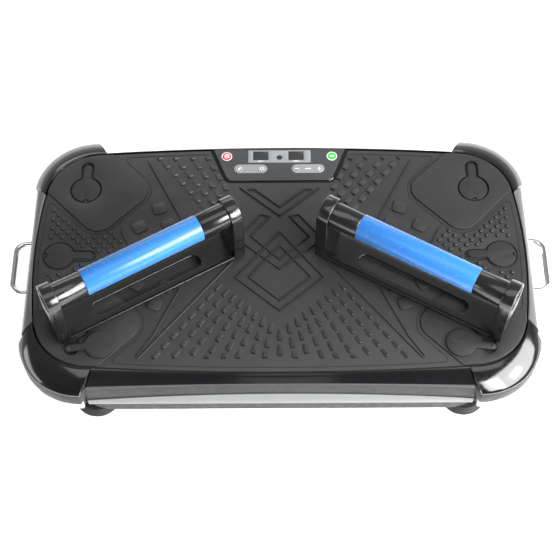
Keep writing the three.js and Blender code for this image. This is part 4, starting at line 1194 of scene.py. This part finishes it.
# ---------------------------------------------------------------- control panel
PANEL_TOP = PANEL_HIGH.z
PRINT_TOP = PANEL_TOP + 0.18
BUTTON_NAMES = ("power", "start", "mode", "timer", "minus", "plus")


def button_place(name):
    """Centre and radius of a button."""
    low, high, middle = span(f"{name}_button")
    return middle.x, middle.y, (high.x - low.x) / 2


def hole(x, y, r):
    return circle(x, y, r)[::-1]


def printed(shell, loops, top=PRINT_TOP):
    """Thin raised print on the panel."""
    shell.slab(loops, [(0, PANEL_TOP - 0.3), (0, top - 0.08), (0.08, top)], hole_share=0.5)


FRAME_WIDTH = 2.4                      # sloping black frame round the panel's grey face


def panel_at(inset):
    """The panel's outline with its front and sides moved inward; the rear edge hardly moves."""
    return panel_outline(-inset, PANEL_HIGH.y - min(inset, 0.3))


def make_panel():
    shell = Shell()
    holes = [hole(x, y, r + 0.2) for x, y, r in map(button_place, BUTTON_NAMES)]
    low, high, middle = span("display_window")
    bay = [(x + middle.x, y + middle.y)
           for x, y in rounded_rectangle((high.x - low.x) / 2 + 0.15, (high.y - low.y) / 2 + 0.15, 1)][::-1]
    frame_levels = [(0, MAT_BOTTOM), (0, PANEL_TOP - 1.5), (0.4, PANEL_TOP - 1.1), (FRAME_WIDTH + 0.6, PANEL_TOP - 0.4)]
    shell.colour = 3
    shell.slab([panel_at] + holes + [bay], frame_levels, hole_share=0)
    shell.colour = 0
    face_levels = [(FRAME_WIDTH, PANEL_TOP - 0.6), (FRAME_WIDTH, PANEL_TOP - 0.2), (FRAME_WIDTH + 0.2, PANEL_TOP)]
    shell.slab([panel_at] + holes + [bay], face_levels, hole_share=0)
    shell.colour = 1
    for name in ("power", "start"):
        x, y, r = button_place(name)
        printed(shell, [circle(x, y, r + 1.3), hole(x, y, r + 0.25)])
    shell.colour = 2
    for pair in (("mode", "timer"), ("minus", "plus")):
        (xa, y, r), (xb, _, _) = (button_place(name) for name in pair)
        pill = [(px + (xa + xb) / 2, py + y) for px, py in stadium((xb - xa) / 2 + 7.6, 7.5)]
        printed(shell, [pill, hole(xa, y, r + 0.25), hole(xb, y, r + 0.25)])
    shell.colour = 1
    (xa, y, _), (xb, _, _) = button_place("minus"), button_place("plus")
    dash = [((xa + xb) / 2 + px, y + py) for px, py in rounded_rectangle(4.2, 0.7, 0.4, 0.3)]
    printed(shell, [dash], PRINT_TOP + 0.06)
    shell.piece("panel_plate", [PANEL_GREY, PRINT_WHITE, PRINT_GREY, GLOSS_BLACK], "deck", ["control_panel"])


def make_display():
    """Light surround with two dark windows and the dark lens of a remote receiver."""
    low, high, middle = span("display_window")
    half_x, half_y = (high.x - low.x) / 2, (high.y - low.y) / 2
    window_half = (11.15, 7.9)
    centres = ((-27.2, middle.y + 1.2), (24.2, middle.y + 1.2))
    lens = (0, middle.y - 1.8, 4.2)
    windows = [[(x + cx, y + cy) for x, y in rounded_rectangle(*window_half, 0.6, 0.4)] for cx, cy in centres]
    outline = [(x + middle.x, y + middle.y) for x, y in rounded_rectangle(half_x, half_y, 0.9, 0.4)]
    shell = Shell()
    shell.slab([outline] + [w[::-1] for w in windows] + [hole(*lens)], rounded_top(low.z, high.z, 0.25, 2))
    shell.colour = 1
    for window in windows:
        shell.slab([shrink(window, 0.05)], rounded_top(low.z + 0.2, high.z - 0.35, 0.15, 2))
    shell.turned([(0, low.z + 0.2), (lens[2] - 0.05, low.z + 0.2), (lens[2] - 0.05, high.z - 0.3),
                  (lens[2] * 0.6, high.z - 0.05), (0, high.z)], 40, Matrix.Translation((lens[0], lens[1], 0)))
    shell.colour = 2
    for cx, cy in centres:
        mark = [(x + cx, y + cy - window_half[1] - 1.7) for x, y in rounded_rectangle(4, 0.55, 0.3, 0.3)]
        shell.slab([mark], [(0, high.z - 0.3), (0.06, high.z + 0.1)])
    shell.piece("display_panel", [PRINT_GREY, SCREEN, PRINT_WHITE], "deck", ["display_window"])


def icon_outlines(name):
    """Generic symbol on a button's top, round its centre."""
    if name == "power":
        return [[circle(0, 0, 3.6), hole(0, 0, 2.5)], [circle(0, 0, 1.1)]]
    if name == "start":
        return [[rounded_rectangle(3.4, 1.3, 1.2, 0.4)]]
    rings = [[circle(0, 0, 5.2), hole(0, 0, 4.5)]]
    bar = rounded_rectangle(2.6, 0.65, 0.5, 0.3)
    if name == "mode":
        return rings + [[turn_and_move(bar, 0, 1.0, 0.7)], [turn_and_move(bar, 0, -1.0, 0.7)]]
    if name == "timer":
        return rings + [[circle(0, 0, 2.9), hole(0, 0, 2.2)], [turn_and_move(rounded_rectangle(1.1, 0.35, 0.3, 0.3), 0.5, 0.5, 0.8)]]
    if name == "minus":
        return rings + [[bar]]
    bar_half = 0.65
    cross = [(2.6, bar_half), (bar_half, bar_half), (bar_half, 2.6), (-bar_half, 2.6), (-bar_half, bar_half),
             (-2.6, bar_half), (-2.6, -bar_half), (-bar_half, -bar_half), (-bar_half, -2.6), (bar_half, -2.6),
             (bar_half, -bar_half), (2.6, -bar_half)]
    return rings + [[cross]]


def make_button(name):
    x, y, r = button_place(name)
    low, high, _ = span(f"{name}_button")
    place = Matrix.Translation((x, y, 0))
    shell = Shell()
    shell.turned([(0, low.z), (r, low.z), (r, high.z - 0.9), (r - 0.12, high.z - 0.5), (r - 0.5, high.z - 0.15),
                  (r - 1.1, high.z), (r * 0.6, high.z - 0.12), (0, high.z - 0.2)], 56, place)
    shell.colour = 1
    for loops in icon_outlines(name):
        shell.slab(loops, [(0, high.z - 0.5), (0, high.z - 0.08), (0.05, high.z - 0.02)], place)
    finish = {"power": RED_KEY, "start": GREEN_KEY}.get(name, GREY_KEY)
    shell.piece(f"{name}_key_cap", [finish, PRINT_WHITE], f"{name}_key", [f"{name}_button"])


make_panel()
make_display()
for name in BUTTON_NAMES:
    make_button(name)


# ---------------------------------------------------------------- socket covers
COVER_TONGUE_HALF = 5
NOTCH_R = 4.4


def notched_keyhole(r, tongue_half, reach):
    """Keyhole outline with a finger notch opposite the tongue."""
    opening = math.asin(tongue_half / r)
    half = 2 * math.asin(NOTCH_R / (2 * r))
    lean = math.pi / 2 - half / 2
    points = arc(0, 0, r, opening, math.pi - half, 0.9)
    points += arc(-r, 0, NOTCH_R, lean, -lean, 0.5)[1:-1]
    points += arc(0, 0, r, math.pi + half, 2 * math.pi - opening, 0.9)
    return points + arc(reach - tongue_half, 0, tongue_half, -math.pi / 2, math.pi / 2, 0.9)


def make_closed_cover(kind, side):
    node = f"socket_cover_{kind}_{side}"
    low, high, _ = span(node)
    centre, turn, slot_reach = socket(kind, side)
    reach = slot_reach - TIP_CLEARANCE
    r = 20.0
    place = Matrix.Translation((centre.x, centre.y, 0)) @ Matrix.Rotation(turn, 4, "Z")
    shell = Shell()
    shell.slab([keyhole(r + 1.2, COVER_TONGUE_HALF + 2.4, reach + 1.2)],
               rounded_top(low.z, low.z + 0.9, 0.3), place)
    shell.slab([notched_keyhole(r + 0.2, COVER_TONGUE_HALF, reach - 1.3)],
               rounded_top(low.z + 0.5, high.z + 0.1, 0.6), place)
    lip = [(-r * 0.965 + 2.2 * math.cos(a) * 0.9, 3.0 * math.sin(a)) for a in
           [math.pi * 2 * i / 20 for i in range(20)]]
    shell.slab([lip], rounded_top(low.z + 0.5, high.z - 0.5, 0.4), place)
    shell.piece(f"cover_{kind}_{side}", COVER_RUBBER, f"{kind}_cover_{side}", [node])


def make_open_cover(side, sx):
    """Cover pulled out of its socket, lying on the mat and held by the peg under its tongue."""
    node = f"socket_cover_front_{side}"
    low, high, _ = span(node)
    anchor = Vector((sx * 283.0, -146.0))
    r = 20.0
    centre = Vector((low.x + r if sx > 0 else high.x - r, low.y + r))
    centre.y = high.y - r
    along = anchor - centre
    turn = math.atan2(along.y, along.x)
    bottom = DECK_TOP + 0.3
    place = Matrix.Translation((centre.x, centre.y, 0)) @ Matrix.Rotation(turn, 4, "Z")
    shell = Shell()
    reach = along.length + COVER_TONGUE_HALF
    shell.slab([keyhole(r, COVER_TONGUE_HALF, reach)], rounded_both(bottom, high.z, 0.8), place)
    shell.slab([notched_keyhole(r - 1.6, COVER_TONGUE_HALF - 1.6, reach - 1.6)],
               rounded_top(high.z - 0.5, high.z + 0.35, 0.35), place)
    peg = [(0, MAT_BOTTOM), (3.2, MAT_BOTTOM), (3.5, MAT_BOTTOM + 0.5), (2.6, MAT_BOTTOM + 1.6), (2.6, bottom + 0.5),
           (0, bottom + 0.5)]
    shell.turned(peg, 32, Matrix.Translation((anchor.x, anchor.y, 0)))
    stud = [(0, high.z - 0.4), (3.0, high.z - 0.4), (3.0, high.z + 0.3), (2.4, high.z + 0.75), (0, high.z + 0.9)]
    shell.turned(stud, 32, Matrix.Translation((anchor.x, anchor.y, 0)))
    shell.piece(f"cover_front_{side}", COVER_RUBBER, f"front_cover_{side}", [node])


for side, sx in SIDES:
    make_closed_cover("rear", side)
    make_closed_cover("middle", side)
    make_open_cover(side, sx)


# ---------------------------------------------------------------- push-up handles
POST = {"thickness": 16.5, "foot_half": 23.5, "top_r": 22.0}
HANDLE_HALF_WIDTH = 22
HANDLE_OUTER = -28.7                   # outer face, measured along the handle from its locking foot
REST_INSET = 12                        # rest pad to the inner face
PLATE_THICKNESS = 4
TUBE_R, TUBE_BORE_R, TUBE_CORE_R = 17.5, 14.5, 15.0
SLEEVE_HALF = 85
SLOT = {"half_length": 82.5, "r": 11}


def handle_frame(side):
    """Placement of the handle's own axes, its inner end, its base height and its grip height."""
    foot = span(f"locking_foot_{side}")[2]
    pad = span(f"rest_pad_{side}")[2]
    low, high, _ = span(f"handle_frame_{side}")
    along = Vector((pad.x - foot.x, pad.y - foot.y))
    place = Matrix.Translation((foot.x, foot.y, 0)) @ Matrix.Rotation(math.atan2(along.y, along.x), 4, "Z")
    return place, along.length + REST_INSET, low.z, high.z - POST["top_r"]


def post_outline(base, grip_z):
    """Arch drawn in the handle's cross direction and height."""
    foot, r = POST["foot_half"], POST["top_r"]
    start = fillet((-foot, base + 10), (-foot, base), (foot, base), 1.5, 0.6)
    end = fillet((-foot, base), (foot, base), (foot, base + 10), 1.5, 0.6)
    return start + end + arc(0, grip_z, r, 0, math.pi, 1.2)


def make_handle_frame(side):
    place, inner, base, grip_z = handle_frame(side)
    shell = Shell()
    cross = Matrix(((0, 0, 1, 0), (1, 0, 0, 0), (0, 1, 0, 0), (0, 0, 0, 1)))
    outline = post_outline(base, grip_z)
    bore = [(x, y) for x, y in circle(0, grip_z, TUBE_R + 0.25)][::-1]
    shell.slab([outline, bore], rounded_both(HANDLE_OUTER, HANDLE_OUTER + POST["thickness"], 1.1),
               place @ cross, hole_share=0.4)
    shell.slab([outline], rounded_both(inner - POST["thickness"], inner, 1.4), place @ cross)
    middle = (HANDLE_OUTER + inner) / 2
    length = inner - HANDLE_OUTER - 2
    plate = [(x + middle, y) for x, y in rounded_rectangle(length / 2, HANDLE_HALF_WIDTH, 1.5, 0.6)]
    slot = [(x + middle, y) for x, y in stadium(SLOT["half_length"], SLOT["r"])][::-1]
    shell.slab([plate, slot], rounded_both(base, base + PLATE_THICKNESS, 0.7), place)
    shell.piece(f"handle_stand_{side}", HANDLE_BLACK, f"handle_{side}", [f"handle_frame_{side}"])


def grip_axis(side):
    """Turns a profile's height into distance along the handle at grip height."""
    place, inner, _, grip_z = handle_frame(side)
    return place @ Matrix.Translation((0, 0, grip_z)) @ Matrix.Rotation(math.pi / 2, 4, "Y"), inner


def make_grip(side):
    place, inner = grip_axis(side)
    outer = HANDLE_OUTER + 1.2
    end = inner - POST["thickness"] + 6
    middle = (HANDLE_OUTER + inner) / 2
    neck0, neck1 = middle - SLEEVE_HALF - 0.3, middle + SLEEVE_HALF + 0.3
    floor = outer + 26
    tube = Shell()
    tube.turned([(0, floor), (TUBE_BORE_R - 1, floor), (TUBE_BORE_R, floor - 1), (TUBE_BORE_R, outer + 1),
                 (TUBE_BORE_R + 0.4, outer + 0.3), (TUBE_BORE_R + 1.1, outer), (TUBE_R - 0.9, outer),
                 (TUBE_R - 0.2, outer + 0.3), (TUBE_R, outer + 1), (TUBE_R, neck0 - 0.5), (TUBE_R - 0.4, neck0),
                 (TUBE_CORE_R, neck0), (TUBE_CORE_R, neck1), (TUBE_R - 0.4, neck1), (TUBE_R, neck1 + 0.5),
                 (TUBE_R, end), (0, end)], 96, place)
    tube.piece(f"grip_bar_{side}", HANDLE_BLACK, f"handle_{side}", [f"grip_tube_{side}"])
    sleeve = Shell()
    r = TUBE_R + 0.4
    a0, a1 = middle - SLEEVE_HALF, middle + SLEEVE_HALF
    sleeve.turned([(TUBE_CORE_R + 0.3, a0), (TUBE_CORE_R + 0.3, a1), (r - 1, a1), (r - 0.3, a1 - 0.3), (r, a1 - 1),
                   (r, a0 + 1), (r - 0.3, a0 + 0.3), (r - 1, a0)], 96, place, looped=True)
    cover = sleeve.piece(f"grip_cover_{side}", BLUE_GRIP, f"handle_{side}", [f"grip_sleeve_{side}"])
    cover.visible_diffuse = False      # keeps blue light off the black pieces round it
    cover.visible_glossy = False


def make_handle_feet(side):
    centre = span(f"locking_foot_{side}")[2]
    low, high, _ = span(f"locking_foot_{side}")
    shoulder = MAT_BOTTOM + 0.3
    shell = Shell()
    profile = [(0, low.z), (16.5, low.z), (17.5, low.z + 1), (18.6, low.z + 3), (17.8, low.z + 5), (19, low.z + 7),
               (18.2, low.z + 9), (19, shoulder - 1), (19, shoulder), (21, shoulder), (21.5, shoulder + 0.5),
               (21.5, high.z - 1), (21, high.z), (0, high.z)]
    shell.turned(profile, 56, Matrix.Translation((centre.x, centre.y, 0)))
    shell.piece(f"lock_plug_{side}", DARK_RUBBER, f"lock_{side}", [f"locking_foot_{side}"])
    low, high, middle = span(f"rest_pad_{side}")
    r = (high.x - low.x) / 2
    pad = Shell()
    pad.turned([(0, low.z + 0.3), (r - 3, low.z + 0.3), (r - 2.4, low.z), (r - 1, low.z), (r, low.z + 0.8),
                (r, high.z), (0, high.z)], 40, Matrix.Translation((middle.x, middle.y, 0)))
    pad.piece(f"handle_pad_{side}", DARK_RUBBER, f"handle_{side}", [f"rest_pad_{side}"])


for side, _ in SIDES:
    make_handle_frame(side)
    make_grip(side)
    make_handle_feet(side)


# ---------------------------------------------------------------- base
TUB_LOW, TUB_HIGH, _ = span("base_tub")
TUB_WALL = 3.0
TUB_BOTTOM = 15.0
TUB_CORNER_R = 80
SCOOP_X, SCOOP_Y = (214, 262), (60, 112)   # the scoops grow between these distances from the centre


def rectangular_hole(node, grow, corner_r):
    """Rounded outline of a rear wall fitting, drawn in -X and Z."""
    low, high, middle = span(node)
    half_x, half_z = (high.x - low.x) / 2 + grow, (high.z - low.z) / 2 + grow
    return [(x - middle.x, y + middle.z) for x, y in rounded_rectangle(half_x, half_z, corner_r, 0.4)]


def scoop_share(x, y):
    """How far the tub's lower edge is scooped away over a foot, from 0 to 1."""
    share = min(1, max(0, (abs(x) - SCOOP_X[0]) / (SCOOP_X[1] - SCOOP_X[0])))
    share *= min(1, max(0, (abs(y) - SCOOP_Y[0]) / (SCOOP_Y[1] - SCOOP_Y[0])))
    return share ** 4


def make_tub():
    half_x, half_y = TUB_HIGH.x, TUB_HIGH.y
    outer = densify(rounded_rectangle(half_x, half_y, TUB_CORNER_R, 3), 8)
    # inset and height above the tub's bottom along the plain wall, then at a scooped corner
    levels = [((24, 0), (24, 0)), ((7, 0), (16, 2.5)), ((3.2, 0.7), (9, 11)), ((0.9, 2.6), (3, 22)),
              ((0, 5.5), (0, 30)), ((0, 46.4), (0, 46.4)), ((0.6, 47), (0.6, 47)), ((2.6, 47), (2.6, 47)),
              ((3, 46.5), (3, 46.5)), ((3, 7), (3.4, 31)), ((4.5, 4), (12.5, 12)), ((24, 3), (24, 3))]
    rings = []
    for plain, scooped in levels:
        bases = (shrink(outer, plain[0]), shrink(outer, scooped[0]))
        ring = []
        for (x, y), near, far in zip(outer, *bases):
            share = scoop_share(x, y)
            height = plain[1] + (scooped[1] - plain[1]) * share
            ring.append((*Vector(near).lerp(Vector(far), share), TUB_BOTTOM + height))
        rings.append(ring)
    shell = Shell()
    shell.loft(rings)
    apron = [(-62, 26), (-58, TUB_LOW.z), (58, TUB_LOW.z), (62, 26)]
    shell.slab([rounded_polygon(apron, 1.5)], rounded_both(0, TUB_WALL, 0.6), upright(-half_y + TUB_WALL - 0.3, -1))
    tub = shell.piece("tub_shell", GREY_SHELL, "base", ["base_tub"])
    cutters = []
    for node, grow in (("power_switch", 1.5), ("power_inlet", -3.6)):
        cutter = Shell()
        cutter.slab([rectangular_hole(node, grow, 1)], [(0, -8), (0, 4)], upright(half_y, 1))
        cutters.append(cutter)
    drill(tub, cutters)


FOOT_SPREAD = 3.5                      # the soft foot stands this far round its nominal radius


def make_foot(corner):
    low, high, middle = span(f"foot_{corner}")
    r = (high.x - low.x) / 2 + FOOT_SPREAD
    shell = Shell()
    shell.turned([(0, 0.6), (r - 8, 0.6), (r - 7, 0), (r - 2.2, 0), (r - 0.6, 0.7), (r, 2.2), (r - 0.2, 4.4),
                  (r - 1, 4.9), (r - 1, 5.6), (r - 0.4, 6.1), (r - 0.9, 8.2), (r - 1.6, 8.7), (r - 1.7, 9.4),
                  (r - 1.5, 9.9), (r - 5, high.z), (0, high.z)], 64, Matrix.Translation((middle.x, middle.y, 0)))
    shell.piece(f"rubber_foot_{corner}", DARK_RUBBER, "base", [f"foot_{corner}"])


def make_inlet():
    low, high, middle = span("power_inlet")
    face = TUB_HIGH.y
    shell = Shell()
    socket_hole = [(x - middle.x, y + middle.z) for x, y in rounded_polygon(
        [(-11.5, -7.5), (11.5, -7.5), (11.5, 3.5), (7.5, 7.5), (-7.5, 7.5), (-11.5, 3.5)], 1.2, 0.4)][::-1]
    shell.slab([rectangular_hole("power_inlet", 0, 2.5), socket_hole],
               rounded_top(face + 0.3, high.y, 0.5), upright(0, 1), hole_share=0.4)
    shell.slab([rectangular_hole("power_inlet", -4, 1), socket_hole], [(0, low.y), (0, face + 0.5)], upright(0, 1))
    back = [(x - middle.x, y + middle.z) for x, y in rounded_rectangle(13, 8.8, 1, 0.4)]
    shell.slab([back], [(0, low.y), (0, low.y + 6.5)], upright(0, 1))
    shell.colour = 1
    for x, z in ((-6, -1), (6, -1), (0, 3)):
        pin = [(px - middle.x + x, pz + middle.z + z) for px, pz in rounded_rectangle(1.0, 2.0, 0.3, 0.3)]
        shell.slab([pin], [(0, low.y + 6), (0, face - 5), (0.5, face - 4)], upright(0, 1))
    shell.piece("inlet_socket", [GLOSS_BLACK, STEEL], "base", ["power_inlet"])


def make_switch():
    low, high, middle = span("power_switch")
    half_x = (high.x - low.x) / 2
    face = TUB_HIGH.y
    rocker = rounded_polygon([(low.y, low.z), (face + 0.4, low.z), (face - 0.9, middle.z), (high.y, high.z),
                              (low.y, high.z)], 0.6, 0.3)
    shell = Shell()
    shell.slab([rocker], rounded_both(middle.x - half_x, middle.x + half_x, 0.4), along_y(0))
    shell.piece("rocker_cap", GLOSS_BLACK, "rocker_switch", ["power_switch"])


make_tub()
for corner, _, _ in CORNERS:
    make_foot(corner)
make_inlet()
make_switch()


# ---------------------------------------------------------------- studio
def make_floor():
    size = 6.0
    mesh = bpy.data.meshes.new("floor")
    mesh.from_pydata([(-size, -size, 0), (size, -size, 0), (size, size, 0), (-size, size, 0)], [], [(0, 1, 2, 3)])
    floor = bpy.data.objects.new("floor", mesh)
    finish = Finish("studio_floor")
    tone = finish.ramp(finish.noise(0.8, 2), 0.3, 0.7, linear("f2f2f2"), linear("f6f6f6"))
    finish.set(Roughness=0.6, Specular_IOR_Level=0.2, Emission_Color=(1, 1, 1, 1), Emission_Strength=0.62)
    mesh.materials.append(finish.feed(Base_Color=tone).material)
    bpy.context.scene.collection.objects.link(floor)


def softbox(name, location, target, size, power):
    light = bpy.data.lights.new(name, "AREA")
    light.shape = "RECTANGLE"
    light.size, light.size_y = size
    light.energy = power
    lamp = bpy.data.objects.new(name, light)
    lamp.location = location
    lamp.rotation_euler = (Vector(target) - Vector(location)).to_track_quat("-Z", "Y").to_euler()
    bpy.context.scene.collection.objects.link(lamp)


def make_sky():
    """Studio walls: brightest low at the rear, dim overhead and at the front."""
    world = bpy.data.worlds.new("studio")
    world.use_nodes = True
    nodes, links = world.node_tree.nodes, world.node_tree.links
    direction = nodes.new("ShaderNodeTexCoord")
    split = nodes.new("ShaderNodeSeparateXYZ")
    ramp = nodes.new("ShaderNodeValToRGB")
    for element, (height, level) in zip(ramp.color_ramp.elements, ((0.08, 0.95), (0.42, 0.42))):
        element.position = height
        element.color = (level, level, level, 1)
    depth = nodes.new("ShaderNodeMapRange")
    depth.inputs["From Min"].default_value = -1
    depth.inputs["To Min"].default_value = 0.25
    links.new(direction.outputs["Generated"], split.inputs["Vector"])
    links.new(split.outputs["Z"], ramp.inputs["Fac"])
    links.new(split.outputs["Y"], depth.inputs["Value"])
    links.new(ramp.outputs["Color"], nodes["Background"].inputs["Color"])
    links.new(depth.outputs["Result"], nodes["Background"].inputs["Strength"])
    bpy.context.scene.world = world


def make_studio():
    make_floor()
    make_sky()
    softbox("key", (1.75, -0.80, 1.35), (0, -0.05, 0.1), (2.3, 1.6), 120)
    softbox("key_core", (2.00, -0.95, 1.50), (0, -0.05, 0.1), (0.4, 0.4), 40)
    softbox("strip", (1.15, -1.69, 1.45), (-0.2, 0, 0.2), (0.8, 1.2), 36)
    softbox("top", (0.1, -0.25, 2.6), (0, 0, 0.1), (2.4, 1.2), 14)
    softbox("rear", (-0.4, 2.4, 1.4), (0, 0, 0.1), (2.4, 0.6), 12)
    softbox("left", (-2.2, -0.5, 0.55), (-0.1, 0, 0.08), (1.4, 0.5), 8)
    softbox("front", (0.03, -2.3, 0.75), (0, 0, 0.1), (0.4, 0.6), 0.4)
    bpy.context.scene.view_settings.view_transform = "Standard"


make_studio()
